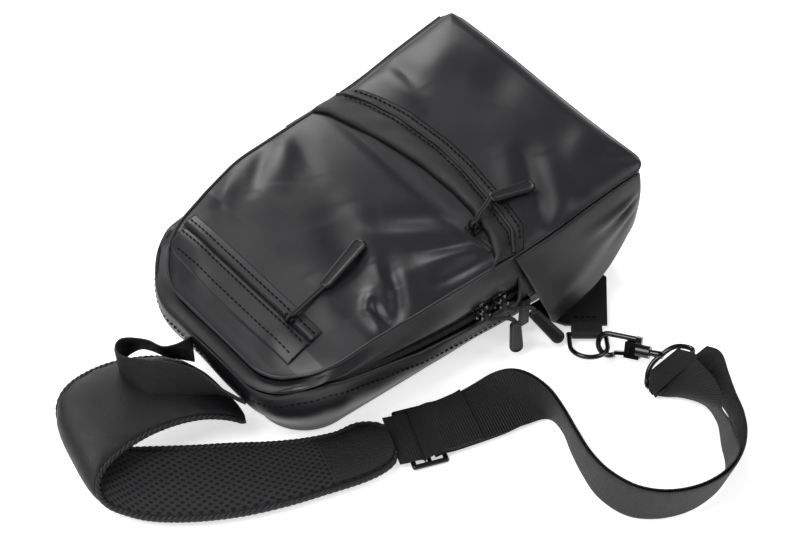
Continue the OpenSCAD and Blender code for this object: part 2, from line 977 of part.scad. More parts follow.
// Grab handle, sewn to the narrow end at both of its ends.
handle_route = [
    [[x_min - 1.4, 28, 41], [0, 0, 1]],
    [[-157, 33, 45], [0, 0, 1]],
    [[-170, 36, 49], [0, 0.15, 0.99]],
    [[-182, 35, 51.5], [0, 0.25, 0.97]],
    [[-191, 29, 52.4], [0.12, 0.33, 0.94]],
    [[-194, 20, 51.6], [0.25, 0.35, 0.90]],
    [[-191, 10, 49.6], [0.40, 0.42, 0.81]],
    [[-184, 1, 47], [0.46, 0.52, 0.72]],
    [[-174, -8, 44.6], [0.46, 0.56, 0.69]],
    [[-164, -15, 42], [0.44, 0.56, 0.70]],
    [[-154, -22, 38.6], [0.25, 0.50, 0.83]],
    [[x_min - 1.6, -28, 34.6], [0, 0.40, 0.92]]
];
module handle_loop() {
    color("#1e1e20")
        ribbon(edges(handle_route, handle_w), -handle_t / 2, handle_t / 2);
}

// ---------- sliders and pullers ----------

bail_h = 3.4;           // height of the bail's bar over the slider's top plate
plate_t = 1.2;
post_w = teeth_gap - 0.4;
row_z = teeth_t / 2;    // half depth of the teeth about the tape's middle
bar_z = row_z + fit + plate_t + bail_h;

// Slider about the middle of its teeth: X along the zipper, Z outwards.
module slider() {
    for (s = [-1, 1])
        translate([-slider_l / 2, -slider_w / 2, s > 0 ? row_z + fit : -row_z - fit - plate_t])
            cube([slider_l, slider_w, plate_t]);
    translate([-slider_l / 4, -post_w / 2, -row_z - fit - 0.2])
        cube([slider_l / 2, post_w, 2 * (row_z + fit + 0.2)]);
    top = row_z + fit + plate_t - 0.3;
    for (s = [-1, 1])
        translate([s * (2.4 + bail_d / 2) - bail_d / 2, -bail_d, top])
            cube([bail_d, 2 * bail_d, bar_z - top + bail_d / 2]);
    translate([-2.6, 0, bar_z])
        rotate([0, 90, 0])
            cylinder(h = 5.2, d = bail_d, $fn = 24);
}

// Cord of a puller: a ring round the bail's bar, then a doubled strand along a list of points.
module pull_cord(points) {
    ring_r = bail_d / 2 + 0.15;
    translate([0, 0, bar_z])
        rotate([0, 90, 0])
            difference() {
                cylinder(h = 3, r = ring_r + cord_d * 0.8, center = true);
                cylinder(h = 6, r = ring_r, center = true);
            }
    wire(concat([[0, -ring_r - 0.6, bar_z]], points), 1.6 * cord_d, 8);
}

tab_gap = 0.7;          // how far a tab starts past its cord's last point
// Tab on the end of a cord, pointing along a direction.
module pull_tab(points, dir, l) {
    place(points[len(points) - 1] + unit(dir) * tab_gap, dir, [0, 0, 1])
        stadium(l, tab_w, tab_t);
}

module at_main(x) {
    translate([0, -half_w(0) + tape_in + tape_t / 2, zip_z])
        rotate([0, 0, -taper])
            translate([x, 0, 0])
                rotate([90, 0, 0])
                    children();
}

module at_cross(x, y) {
    on_front(x, y)
        translate([0, 0, -wall + tape_t / 2])
            children();
}

slide_a = 20;
slide_b = 5;
main_tab_l = tab_l - 9;
cord_a = [[0.4, -3.8, 8.4], [6, -5.5, 12], [12, -8.5, 13.4], [19, -16, 14], [23, -22, 14.4]];
dir_a = [1.4, -19, 15];
cord_b = [[0.4, -3.8, 7.8], [6, -5.5, 9.8], [13, -7, 10.4], [19, -11, 10], [21.5, -15.5, 9.4]];
dir_b = [0.5, -20, 1];

module main_slider_a() {
    color("#121214")
        at_main(slide_a)
            slider();
}

module main_cord_a() {
    color("#1c1c1e")
        at_main(slide_a)
            pull_cord(cord_a);
}

module main_tab_a() {
    color("#1f1f22")
        at_main(slide_a)
            pull_tab(cord_a, dir_a, main_tab_l);
}

module main_slider_b() {
    color("#121214")
        at_main(slide_b)
            slider();
}

module main_cord_b() {
    color("#1c1c1e")
        at_main(slide_b)
            pull_cord(cord_b);
}

module main_tab_b() {
    color("#1f1f22")
        at_main(slide_b)
            pull_tab(cord_b, dir_b, main_tab_l);
}

pocket_y = -35;
band_y = -58;
pocket_path = [[0.5, -9, 6], [1.5, -17, 4], [2, -25, 2.2]];
pocket_dir = [9.5, -35, -5];
band_path = [[1, -7, 8], [3, -14, 10], [3.5, -20, 11.4]];
band_dir = [-8, -28, 14];

module pocket_slider() {
    color("#121214")
        at_cross(pocket_x, pocket_y)
            slider();
}

module pocket_cord() {
    color("#1c1c1e")
        at_cross(pocket_x, pocket_y)
            pull_cord(pocket_path);
}

module pocket_tab() {
    color("#1f1f22")
        at_cross(pocket_x, pocket_y)
            pull_tab(pocket_path, pocket_dir, tab_l);
}

module band_slider() {
    color("#121214")
        at_cross(band_zip_x, band_y)
            slider();
}

module band_cord() {
    color("#1c1c1e")
        at_cross(band_zip_x, band_y)
            pull_cord(band_path);
}

module band_tab() {
    color("#1f1f22")
        at_cross(band_zip_x, band_y)
            pull_tab(band_path, band_dir, tab_l);
}

// ---------- build ----------

back_mesh();
back_panel();
back_foam();
lower_gusset();
wide_gusset();
upper_gusset();
lining_tray();
inner_sleeve();
zip_tape_lower();
zip_tape_upper();
zip_teeth_lower();
zip_teeth_upper();
front_panel_lower();
front_panel_upper();
front_band();
band_zip_tape();
band_zip_teeth();
pocket_zip_tape();
pocket_zip_teeth();
pocket_strip();
pocket_liner();
band_liner();
wing_near();
wing_far();
zip_end_tab();
ring_tab_near();
ring_tab_far();
ring_loop_near();
ring_loop_far();
d_ring_near();
d_ring_far();
hook_body();
hook_gate();
hook_rivet();
hook_eye();
strap_outer();
strap_inner();
tri_glide();
pad_cover();
pad_foam();
pad_mesh();
pad_tail();
handle_loop();
main_slider_a();
main_cord_a();
main_tab_a();
main_slider_b();
main_cord_b();
main_tab_b();
pocket_slider();
pocket_cord();
pocket_tab();
band_slider();
band_cord();
band_tab();
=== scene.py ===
import math

import bpy
import numpy as np
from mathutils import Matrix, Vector


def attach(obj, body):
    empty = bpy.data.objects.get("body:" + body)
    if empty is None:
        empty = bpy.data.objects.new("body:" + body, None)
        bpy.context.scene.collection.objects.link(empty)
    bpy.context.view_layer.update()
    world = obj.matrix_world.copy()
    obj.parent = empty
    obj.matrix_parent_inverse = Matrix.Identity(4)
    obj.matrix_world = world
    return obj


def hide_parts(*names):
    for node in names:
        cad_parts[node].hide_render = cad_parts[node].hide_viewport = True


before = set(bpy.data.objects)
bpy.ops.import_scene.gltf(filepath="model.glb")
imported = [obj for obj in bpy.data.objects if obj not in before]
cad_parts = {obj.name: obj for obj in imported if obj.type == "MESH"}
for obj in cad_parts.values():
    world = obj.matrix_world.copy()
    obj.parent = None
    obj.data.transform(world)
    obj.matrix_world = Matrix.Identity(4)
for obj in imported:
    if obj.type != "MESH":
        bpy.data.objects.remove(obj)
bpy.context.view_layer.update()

# ---------------------------------------------------------------- numbers, in mm
HALF_L = 144.0
NARROW_HALF = 82.0  # half the width at the narrow end
TAPER = 14.0  # how much wider each side stands at the wide end
CORNER_R = 48.0
WIDE_R = 12.0
FLOOR_IN = 14.0  # how far the walls fall in by the time they reach the floor
FLOOR_GAP = 1.6
LIP_SHARE = 0.16  # share of the lower wall that is the rolled lip under the zip
ZIP_END_X = 38.0
BAG_PU = "shell_fabric"


def smooth(t):
    t = np.clip(t, 0.0, 1.0)
    return t * t * (3 - 2 * t)


def half_w(x):
    return NARROW_HALF + TAPER * (np.asarray(x, float) + HALF_L) / (2 * HALF_L)


def curve(*pairs):
    xs = np.array([p[0] for p in pairs], float)
    ys = np.array([p[1] for p in pairs], float)
    return lambda x: np.interp(x, xs, ys)


rim_z = curve((-146, 51), (-135, 57), (-130, 59.5), (-123, 63.5), (-110, 68.5), (-99, 71), (-80, 75.5),
              (-57, 78.5), (0, 80), (32, 80.5), (60, 84), (100, 91), (140, 96), (150, 96.5))
crown = curve((-146, 0), (-135, 0), (-120, 1), (-90, 2), (-40, 2.6), (30, 3), (90, 4.5), (132, 3.2), (143.8, 0),
        (150, 0))
zip_top = curve((-146, 49), (-138, 53), (-129, 60), (-112, 64.5), (-81, 56.5), (-43, 52.5), (-16, 50), (11, 52),
        (40, 48))
lip_z = curve((-146, 47), (-138, 51), (-129, 58), (-112, 62.5), (-79, 52.5), (-43, 43), (-10, 39), (21, 37.5),
        (40, 38))


def far_rise(x, y):
    """The filled bag stands higher on its far side."""
    return 7.5 * smooth((np.asarray(y, float) + 60.0) / 140.0) * smooth((np.asarray(x, float) + 110.0) / 70.0)


def rim_h(x, y):
    """Height of the rim seam, lowered a little where it rounds the wide end."""
    x = np.asarray(x, float)
    end = np.clip((x - 134.0) / 12.0, 0, 1)
    corner = np.clip((x - 122.0) / 24.0, 0, 1) * np.clip((-np.asarray(y, float) - 78.0) / 18.0, 0, 1)
    return rim_z(x) + far_rise(x, y) - 1.5 * end * end - 0.6 * corner - 0.6 * ROLL * rolled(x)


ROLL = 3.2  # how far the soft edge rolls over, in mm


def rolled(x):
    return smooth((np.asarray(x, float) - 20.0) / 30.0)


rim_in = curve((-146, 8), (-130, 8), (-110, 6), (-92, 4), (-50, 0.8), (150, 0.5))


# ---------------------------------------------------------------- outline of the bag in plan
def outline(n_side=90, n_arc=28, n_end=26):
    """Points and outward normals, from the near wide corner round the narrow end, then the wide end."""
    yn = float(half_w(-HALF_L + CORNER_R)) - CORNER_R
    xn = -HALF_L + CORNER_R
    xw = HALF_L - WIDE_R
    yw = float(half_w(xw)) - WIDE_R
    taper = math.atan(TAPER / (2 * HALF_L))
    pts, nrm = [], []
    for s in (-1, 1):
        p, q = [], []
        for x in np.linspace(xw, xn, n_side):
            p.append((x, s * float(half_w(x))))
            q.append((-math.sin(taper), s * math.cos(taper)))
        for a in np.linspace(0, math.pi / 2, n_arc)[1:]:
            p.append((xn - CORNER_R * math.sin(a), s * (yn + CORNER_R * math.cos(a))))
            q.append((-math.sin(a), s * math.cos(a)))
        for y in np.linspace(yn, 0, n_end)[1:]:
            p.append((-HALF_L, s * y))
            q.append((-1.0, 0.0))
        if s < 0:
            pts, nrm = p, q
        else:
            pts += p[::-1][1:]
            nrm += q[::-1][1:]
    wide = []
    for s in (1, -1):
        arc = [(xw + WIDE_R * math.sin(a), s * (yw + WIDE_R * math.cos(a)), math.sin(a), s * math.cos(a))
               for a in np.linspace(0, math.pi / 2, 10)]
        flat = [(HALF_L, y, 1.0, 0.0) for y in np.linspace(s * yw, 0, 18)[1:]]
        part = arc + flat
        wide = part if s > 0 else wide + part[::-1][1:]
    wide_p = [(w[0], w[1]) for w in wide]
    wide_n = [(w[2], w[3]) for w in wide]
    return np.array(pts), np.array(nrm), np.array(wide_p), np.array(wide_n)


U_P, U_N, W_P, W_N = outline()

# rim curve: the seam between the front and the side
RIM = np.column_stack([U_P - U_N * rim_in(U_P[:, 0])[:, None], rim_z(U_P[:, 0])])
near_rim = RIM[RIM[:, 1] < 0]
order = np.argsort(near_rim[:, 0])
RIM_X = near_rim[order, 0]
RIM_Y = -near_rim[order, 1]
TIP_X = RIM[:, 0].min()


def rim_half(x):
    """Half the width of the front at x."""
    return np.interp(np.asarray(x, float), RIM_X, RIM_Y)


# ---------------------------------------------------------------- folds pressed into the soft panels
# each is (x0, y0, x1, y1, width, height)
FOLDS = [
    (-33, -42, -43, -64, 5.0, -2.2), (-43, -64, -60, -86, 5.5, -2.6),
    (-41, -40, -52, -66, 7.0, 2.0), (-31, -52, -44, -78, 6.0, 1.6),
    (-58, -55, -68, -66, 4.0, 2.2), (-68, -66, -69, -82, 4.0, 2.0), (-63, -62, -62, -80, 3.6, -1.8),
    (14, -72, -22, -60, 6.0, 2.0), (18, -64, -14, -47, 5.0, -1.8), (16, -80, -20, -76, 5.0, -1.6),
    (10, -50, -30, -20, 8.0, 1.6), (22, -40, -12, -14, 8.0, -1.2),
    (-43, 4, -58, -52, 12.0, -2.0), (-24, 8, -36, -36, 11.0, 1.8), (-78, -20, -84, -60, 11.0, 1.4),
    (22, 78, 20, -80, 6.0, -1.4),
    (-20, 78, -44, 50, 8.0, 1.6), (-34, 82, -60, 58, 6.0, -1.4), (-60, 80, -84, 62, 7.0, 1.6),
    (-6, 84, -22, 40, 8.0, -1.2),
    (88, -36, 60, -88, 6.0, -2.4), (96, -48, 74, -92, 8.0, 1.8), (76, -30, 52, -74, 8.0, 1.4),
    (138, 30, 100, 10, 16.0, -1.6), (120, 70, 74, 50, 14.0, 1.4), (132, -50, 104, -66, 10.0, 1.2),
    (70, 84, 62, 40, 8.0, 1.4), (82, 88, 78, 50, 7.0, -1.2), (-100, 64, -128, 30, 9.0, 1.0),
    (-112, -30, -126, -50, 8.0, 0.8), (128, -72, 140, -88, 6.0, -2.2),
]


def press(x, y, folds=FOLDS):
    out = np.zeros(np.broadcast(x, y).shape)
    for x0, y0, x1, y1, w, h in folds:
        dx, dy = x1 - x0, y1 - y0
        ll = dx * dx + dy * dy
        t = ((x - x0) * dx + (y - y0) * dy) / ll
        tc = np.clip(t, 0, 1)
        d2 = (x - x0 - tc * dx) ** 2 + (y - y0 - tc * dy) ** 2
        ends = np.sin(np.pi * np.clip(0.12 + 0.76 * tc, 0, 1))
        out += 1.25 * h * np.exp(-d2 / (w * w)) * ends
    out += 0.2 * np.sin(x / 17.0 + 0.6 * np.sin(y / 21.0)) * np.cos(y / 23.0 + x / 61.0)
    return out


def front(x, y):
    """Height of the front panel."""
    x = np.asarray(x, float)
    y = np.asarray(y, float)
    hw = np.maximum(rim_half(x), 1.0)
    v = np.clip(np.abs(y) / hw, 0, 1)
    edge = np.minimum(np.minimum(hw - np.abs(y), x - TIP_X), HALF_L - 0.2 - x)
    edge = np.maximum(edge, 0)
    soft = 1 - np.exp(-edge / 5.0)
    swell = (1.2 + press(x, y)) * soft
    return rim_h(x, y) + crown(x) * (1 - v ** 2.6) + swell + ROLL * rolled(x) * (1 - np.exp(-edge / 4.5))


def front_normal(x, y):
    e = 1.5
    zx = (front(x + e, y) - front(x - e, y)) / (2 * e)
    zy = (front(x, y + e) - front(x, y - e)) / (2 * e)
    n = np.array([-zx, -zy, 1.0])
    return n / np.linalg.norm(n)


# ---------------------------------------------------------------- mesh helpers
def finish_piece(ob, body, mat, nodes=()):
    if mat is not None:
        ob.data.materials.clear()
        ob.data.materials.append(mat)
    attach(ob, body)
    if nodes:
        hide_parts(*nodes)
    return ob


def make(name, verts, faces, mat, body="bag", nodes=(), slot=None, uv=None, smooth_on=True):
    me = bpy.data.meshes.new(name)
    me.from_pydata([tuple(float(c) * 0.001 for c in v) for v in verts], [],
            [tuple(int(i) for i in f) for f in faces])
    if uv is not None:
        lay = me.uv_layers.new(name="UVMap")
        uv = np.asarray(uv, float) * 0.001
        idx = np.empty(len(me.loops), dtype=np.int32)
        me.loops.foreach_get("vertex_index", idx)
        lay.data.foreach_set("uv", uv[idx].ravel())
    if smooth_on:
        me.polygons.foreach_set("use_smooth", [True] * len(me.polygons))
    me.validate()
    me.update()
    ob = bpy.data.objects.new(name, me)
    bpy.context.scene.collection.objects.link(ob)
    return finish_piece(ob, body, mat, nodes)


def grid_faces(nu, nv, closed_u=False, closed_v=False, flip=False):
    f = []
    for i in range(nu if closed_u else nu - 1):
        i2 = (i + 1) % nu
        for j in range(nv if closed_v else nv - 1):
            j2 = (j + 1) % nv
            q = (i * nv + j, i2 * nv + j, i2 * nv + j2, i * nv + j2)
            f.append(q[::-1] if flip else q)
    return f


def grid(name, P, mat, thick=1.2, uv=None, flip=False, offset=-1, **kw):
    nu, nv = P.shape[:2]
    if uv is None:
        du = np.concatenate([[0], np.cumsum(np.linalg.norm(np.diff(P[:, nv // 2], axis=0), axis=1))])
        dv = np.concatenate([[0], np.cumsum(np.linalg.norm(np.diff(P[nu // 2], axis=0), axis=1))])
        uv = np.stack(np.meshgrid(du, dv, indexing="ij"), -1)
    ob = make(name, P.reshape(-1, 3), grid_faces(nu, nv, flip=flip), mat, uv=uv.reshape(-1, 2), **kw)
    if thick:
        m = ob.modifiers.new("thick", "SOLIDIFY")
        m.thickness = thick * 0.001
        m.offset = offset
    return ob


def frames(path, up=(0, 0, 1)):
    P = np.asarray(path, float)
    T = np.gradient(P, axis=0)
    T /= np.linalg.norm(T, axis=1)[:, None]
    N = np.zeros_like(P)
    u = np.array(up, float)
    for i, t in enumerate(T):
        v = u - t * u.dot(t)
        if np.linalg.norm(v) < 1e-3:
            v = np.cross(t, [1, 0.2, 0.1])
        v /= np.linalg.norm(v)
        N[i] = v
        u = v
    return T, N, np.cross(T, N)


def tube_data(path, r, sides=8, cap=True):
    T, N, B = frames(path)
    n = len(path)
    r = np.broadcast_to(r, (n,))
    a = np.linspace(0, 2 * math.pi, sides, endpoint=False)
    around = np.cos(a)[None, :, None] * N[:, None, :] + np.sin(a)[None, :, None] * B[:, None, :]
    V = np.asarray(path)[:, None, :] + r[:, None, None] * around
    F = grid_faces(n, sides, closed_v=True, flip=True)
    if cap:
        F.append(tuple(range(sides)))
        F.append(tuple(range((n - 1) * sides, n * sides))[::-1])
    return V.reshape(-1, 3), F


def joined(name, parts, mat, **kw):
    V, F, k = [], [], 0
    for v, f in parts:
        V.append(np.asarray(v))
        F += [tuple(i + k for i in q) for q in f]
        k += len(v)
    return make(name, np.concatenate(V), F, mat, **kw)


def tube(name, path, r, mat, sides=8, **kw):
    v, f = tube_data(path, r, sides)
    return make(name, v, f, mat, **kw)


def spline(points, n):
    """Catmull-Rom through the points, n samples at even spacing."""
    P = np.asarray(points, float)
    Q = np.vstack([2 * P[0] - P[1], P, 2 * P[-1] - P[-2]])
    out = []
    for i in range(1, len(Q) - 2):
        p0, p1, p2, p3 = Q[i - 1], Q[i], Q[i + 1], Q[i + 2]
        for t in np.linspace(0, 1, 14, endpoint=False):
            bend = (2 * p0 - 5 * p1 + 4 * p2 - p3) * t * t + (3 * p1 - p0 - 3 * p2 + p3) * t ** 3
            out.append(0.5 * (2 * p1 + (p2 - p0) * t + bend))
    out.append(Q[-2])
    out = np.array(out)
    k = min(3, out.shape[1])
    s = np.concatenate([[0], np.cumsum(np.linalg.norm(np.diff(out[:, :k], axis=0), axis=1))])
    q = np.linspace(0, s[-1], n)
    return np.column_stack([np.interp(q, s, out[:, c]) for c in range(out.shape[1])])


def stitch_parts(path, normals, step=4.0, long=2.7, r=0.5, lift=0.3):
    """Short raised threads along a path."""
    P = np.asarray(path, float)
    Nn = np.asarray(normals, float)
    s = np.concatenate([[0], np.cumsum(np.linalg.norm(np.diff(P, axis=0), axis=1))])
    parts = []
    at = lambda q: np.array([np.interp(q, s, P[:, c]) for c in range(3)])
    an = lambda q: np.array([np.interp(q, s, Nn[:, c]) for c in range(3)])
    for q in np.arange(step / 2, s[-1] - long, step):
        n = an(q + long / 2)
        n /= np.linalg.norm(n)
        qs = [q, q + long * 0.25, q + long * 0.75, q + long]
        h = [-0.25, lift, lift, -0.25]
        pp = np.array([at(a) + n * b for a, b in zip(qs, h)])
        parts.append(tube_data(pp, [r * 0.6, r, r, r * 0.6], 6))
    return parts


def on_front_path(xy, lift=0.0):
    P, N = [], []
    for x, y in xy:
        n = front_normal(x, y)
        P.append(np.array([x, y, float(front(x, y))]) + n * lift)
        N.append(n)
    return np.array(P), np.array(N)


# ---------------------------------------------------------------- materials
class Nodes:
    def __init__(self, name):
        self.mat = bpy.data.materials.new(name)
        self.mat.use_nodes = True
        self.nt = self.mat.node_tree
        self.bsdf = self.nt.nodes["Principled BSDF"]

    def new(self, kind, **props):
        n = self.nt.nodes.new(kind)
        for k, v in props.items():
            setattr(n, k, v)
        return n

    def link(self, a, b):
        self.nt.links.new(a, b)

    def coords(self, uv=False):
        return self.new("ShaderNodeTexCoord").outputs["UV" if uv else "Object"]

    def noise(self, scale, detail=3.0, rough=0.55, uv=False, stretch=None):
        n = self.new("ShaderNodeTexNoise")
        n.inputs["Scale"].default_value = scale
        n.inputs["Detail"].default_value = detail
        n.inputs["Roughness"].default_value = rough
        src = self.coords(uv)
        if stretch:
            m = self.new("ShaderNodeMapping")
            m.inputs["Scale"].default_value = stretch
            self.link(src, m.inputs["Vector"])
            src = m.outputs["Vector"]
        self.link(src, n.inputs["Vector"])
        return n.outputs["Fac"]

    def voronoi(self, scale, feature="F1", uv=False):
        n = self.new("ShaderNodeTexVoronoi", feature=feature)
        n.inputs["Scale"].default_value = scale
        self.link(self.coords(uv), n.inputs["Vector"])
        return n.outputs["Distance"]

    def math(self, op, a, b=None, c=None):
        n = self.new("ShaderNodeMath", operation=op)
        for i, v in enumerate((a, b, c)):
            if v is None:
                continue
            if isinstance(v, (int, float)):
                n.inputs[i].default_value = v
            else:
                self.link(v, n.inputs[i])
        return n.outputs[0]

    def axis(self, which, uv=True):
        s = self.new("ShaderNodeSeparateXYZ")
        self.link(self.coords(uv), s.inputs[0])
        return s.outputs[which]

    def ramp(self, fac, lo, hi, a, b):
        n = self.new("ShaderNodeMapRange")
        n.inputs["From Min"].default_value = lo
        n.inputs["From Max"].default_value = hi
        n.inputs["To Min"].default_value = a
        n.inputs["To Max"].default_value = b
        self.link(fac, n.inputs["Value"])
        return n.outputs[0]

    def mix(self, fac, a, b):
        n = self.new("ShaderNodeMix", data_type="RGBA")
        self.link(fac, n.inputs["Factor"])
        n.inputs["A"].default_value = (*a, 1)
        n.inputs["B"].default_value = (*b, 1)
        return n.outputs["Result"]

    def bump(self, height, strength, distance, under=None):
        n = self.new("ShaderNodeBump")
        n.inputs["Strength"].default_value = strength
        n.inputs["Distance"].default_value = distance
        self.link(height, n.inputs["Height"])
        if under is not None:
            self.link(under, n.inputs["Normal"])
        return n.outputs["Normal"]

    def set(self, **kw):
        names = {"color": "Base Color", "rough": "Roughness", "metal": "Metallic", "spec": "Specular IOR Level",
                 "coat": "Coat Weight", "coat_rough": "Coat Roughness", "sheen": "Sheen Weight",
                 "sheen_rough": "Sheen Roughness", "normal": "Normal"}
        for k, v in kw.items():
            sock = self.bsdf.inputs[names[k]]
            if hasattr(v, "is_linked") or hasattr(v, "links"):
                self.link(v, sock)
            elif isinstance(v, tuple):
                sock.default_value = (*v, 1)
            else:
                sock.default_value = v
        return self.mat


def pu_material(name, col, rough_lo, rough_hi, spec=0.5):
    m = Nodes(name)
    fine = m.noise(1900, 2)
    soft = m.noise(90, 3)
    patch = m.noise(24, 3)
    n1 = m.bump(soft, 0.16, 0.0006)
    n2 = m.bump(fine, 0.22, 0.00012, n1)
    c = m.mix(patch, tuple(0.86 * v for v in col), tuple(1.14 * v for v in col))
    return m.set(color=c, rough=m.ramp(patch, 0.3, 0.7, rough_lo, rough_hi), spec=spec, normal=n2)


def leather_material(name, col, scale=1100, rough=0.5, spec=0.45, strength=0.5):
    m = Nodes(name)
    cell = m.voronoi(scale, "DISTANCE_TO_EDGE")
    cell = m.math("MINIMUM", m.math("MULTIPLY", cell, 4.0), 1.0)
    soft = m.noise(130, 4)
    n1 = m.bump(soft, 0.2, 0.0005)
    n2 = m.bump(cell, strength, 0.00018, n1)
    c = m.mix(m.noise(60, 3), tuple(0.8 * v for v in col), tuple(1.2 * v for v in col))
    return m.set(color=c, rough=m.ramp(soft, 0.3, 0.7, rough - 0.05, rough + 0.06), spec=spec, normal=n2)


def webbing_material(name, col, rib=1.25, yarn=0.95, rough=0.62, twill=False):
    """u runs along the webbing, v across it."""
    m = Nodes(name)
    u = m.axis(0)
    v = m.axis(1)
    k = 2 * math.pi * 1000
    if twill:
        a = m.math("SINE", m.math("MULTIPLY", m.math("ADD", u, m.math("MULTIPLY", v, 1.0)), k / 1.9))
        b = m.math("SINE", m.math("MULTIPLY", v, k / 1.1))
    else:
        a = m.math("SINE", m.math("MULTIPLY", u, k / rib))
        b = m.math("SINE", m.math("MULTIPLY", m.math("ADD", v, m.math("MULTIPLY", u, 0.12)), k / yarn))
    h = m.math("ADD", m.math("MULTIPLY", a, 0.7), m.math("MULTIPLY", b, 0.35))
    h = m.math("ADD", h, m.math("MULTIPLY", m.noise(2600, 2), 0.5))
    n = m.bump(h, 0.8, 0.0004)
    # The colour follows the weave's height: painted shade in the grooves and a painted highlight on the rib
    # tops.
    c = m.mix(m.ramp(h, -0.8, 1.4, 0.0, 1.0), tuple(0.3 * x for x in col), tuple(1.7 * x for x in col))
    return m.set(color=c, rough=rough, spec=0.4, normal=n)


def mesh_material(name, col):
    m = Nodes(name)
    k = 2 * math.pi * 1000
    a = m.math("COSINE", m.math("MULTIPLY", m.axis(0), k / 6.6))
    b = m.math("COSINE", m.math("MULTIPLY", m.axis(1), k / 4.6))
    open_ = m.ramp(m.math("MULTIPLY", a, b), 0.2, 0.5, 0.0, 1.0)
    knit = m.noise(2400, 2)
    h = m.math("SUBTRACT", m.math("MULTIPLY", knit, 0.35), open_)
    n = m.bump(h, 0.9, 0.0007)
    # The holes are painted almost black: painted shade inside the mesh's openings.
    c = m.mix(open_, col, tuple(0.04 * x for x in col))
    return m.set(color=c, rough=0.78, spec=0.3, normal=n)


def metal_material(name, col, rough=0.2):
    m = Nodes(name)
    wear = m.noise(160, 4)
    n = m.bump(m.noise(700, 2), 0.05, 0.0001)
    return m.set(color=col, metal=0.55, rough=m.ramp(wear, 0.35, 0.7, rough, rough + 0.1), spec=0.6, coat=0.5,
            coat_rough=0.08, normal=n)


def plain_material(name, col, rough, scale=900, strength=0.15, spec=0.5):
    m = Nodes(name)
    n = m.bump(m.noise(scale, 3), strength, 0.0002)
    c = m.mix(m.noise(90, 2), tuple(0.85 * v for v in col), tuple(1.15 * v for v in col))
    return m.set(color=c, rough=rough, spec=spec, normal=n)


PU = pu_material("pu_shell", (0.0080, 0.0080, 0.0098), 0.34, 0.43, 0.42)
# A darker copy of the same shell fabric for the side walls: painted shade for the faces that turn away from the
# lamps.
PU_SHADED_SIDE = pu_material("pu_side_painted_shade", (0.0062, 0.0062, 0.0077), 0.36, 0.45, 0.40)
LEATHER = leather_material("band_leather", (0.0045, 0.0045, 0.0054), 1500, 0.42, 0.36, 0.45)
PAD_LEATHER = leather_material("pad_leather", (0.0078, 0.0078, 0.0092), 1100, 0.46, 0.36, 0.35)
PATCH = leather_material("pad_patch_leather", (0.0075, 0.0075, 0.0085), 420, 0.6, 0.34, 1.0)
WEB = webbing_material("strap_webbing", (0.0050, 0.0050, 0.0056), 1.7, 1.3)
TWILL = webbing_material("handle_webbing", (0.0062, 0.0062, 0.0068), twill=True)
MESH = mesh_material("air_mesh_knit", (0.019, 0.019, 0.0208))
METAL = metal_material("black_hardware", (0.007, 0.007, 0.008), 0.14)
RUBBER = plain_material("puller_rubber_look", (0.0065, 0.0065, 0.0078), 0.36, 700, 0.1, 0.4)
CORD = webbing_material("cord_braid", (0.0075, 0.0075, 0.0083), 1.4, 1.4)
TAPE = webbing_material("zip_twill", (0.0055, 0.0055, 0.0062), twill=True)
TEETH = plain_material("zip_coil", (0.0065, 0.0065, 0.0072), 0.42)
THREAD = plain_material("stitch_thread", (0.0018, 0.0018, 0.0021), 0.75, 900, 0.15, 0.12)
LINING = plain_material("lining_cloth", (0.03, 0.03, 0.033), 0.6)
FOAM = plain_material("foam_sheet", (0.12, 0.12, 0.13), 0.85)

for node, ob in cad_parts.items():
    look = PU_SHADED_SIDE
    if node in ("back_foam", "pad_foam"):
        look = FOAM
    elif node in ("back_mesh", "pad_mesh"):
        look = MESH
    elif node in ("lining_tray", "inner_sleeve", "pocket_liner", "band_liner", "back_panel"):
        look = LINING
    elif "slider" in node or node.startswith(("d_ring", "hook")) or node == "tri_glide":
        look = METAL
    elif "teeth" in node:
        look = TEETH
    elif "zip_tape" in node:
        look = TAPE
    elif node in ("strap_outer", "strap_inner", "pad_tail", "ring_loop_near", "ring_loop_far"):
        look = WEB
    elif node == "handle_loop":
        look = TWILL
    elif node in ("ring_tab_near", "ring_tab_far", "zip_end_tab", "front_band", "pocket_strip", "pad_cover"):
        look = LEATHER
    elif "cord" in node:
        look = CORD
    elif node.endswith("_tab") or node.startswith("main_tab"):
        look = RUBBER
    ob.data.materials.clear()
    ob.data.materials.append(look)

# ---------------------------------------------------------------- front panels
BAND_LO = curve((-90, 12), (-84, 19.7), (-68, 28.4), (-47, 33.2), (-29, 34.5), (0, 33.5), (19.5, 31),
        (40, 27.5), (58.5, 23.3),
                (79, 18.7), (85, 15), (92, 11))
BAND_HI = curve((-90, 31), (-86, 34.2), (-77, 41.4), (-48, 47.2), (-20, 51), (4, 51.8), (40, 48.6), (65, 44),
        (85, 38.7), (92, 34))


def front_grid(name, x_lo, x_hi, nx, ny, nodes, power=1.0):
    """x_lo and x_hi are functions of the side position v from -1 to 1."""
    v = np.sin(np.linspace(-math.pi / 2, math.pi / 2, ny))
    v = 0.6 * v + 0.4 * np.linspace(-1, 1, ny)
    P = np.zeros((nx, ny, 3))
    for j, vj in enumerate(v):
        a, b = x_lo(vj), x_hi(vj)
        t = np.linspace(0, 1, nx) ** power
        x = a + (b - a) * t
        y = vj * rim_half(x)
        P[:, j, 0] = x
        P[:, j, 1] = y
        P[:, j, 2] = front(x, y)
    return grid(name, P, PU, 1.2, nodes=nodes, slot=BAG_PU)


def wide_edge(v):
    """Where the front ends at the wide end, rounded at its two corners."""
    past = max(0.0, abs(v) * 95.6 - 83.6)
    return HALF_L - WIDE_R + math.sqrt(max(0.0, WIDE_R ** 2 - past * past)) - 0.2


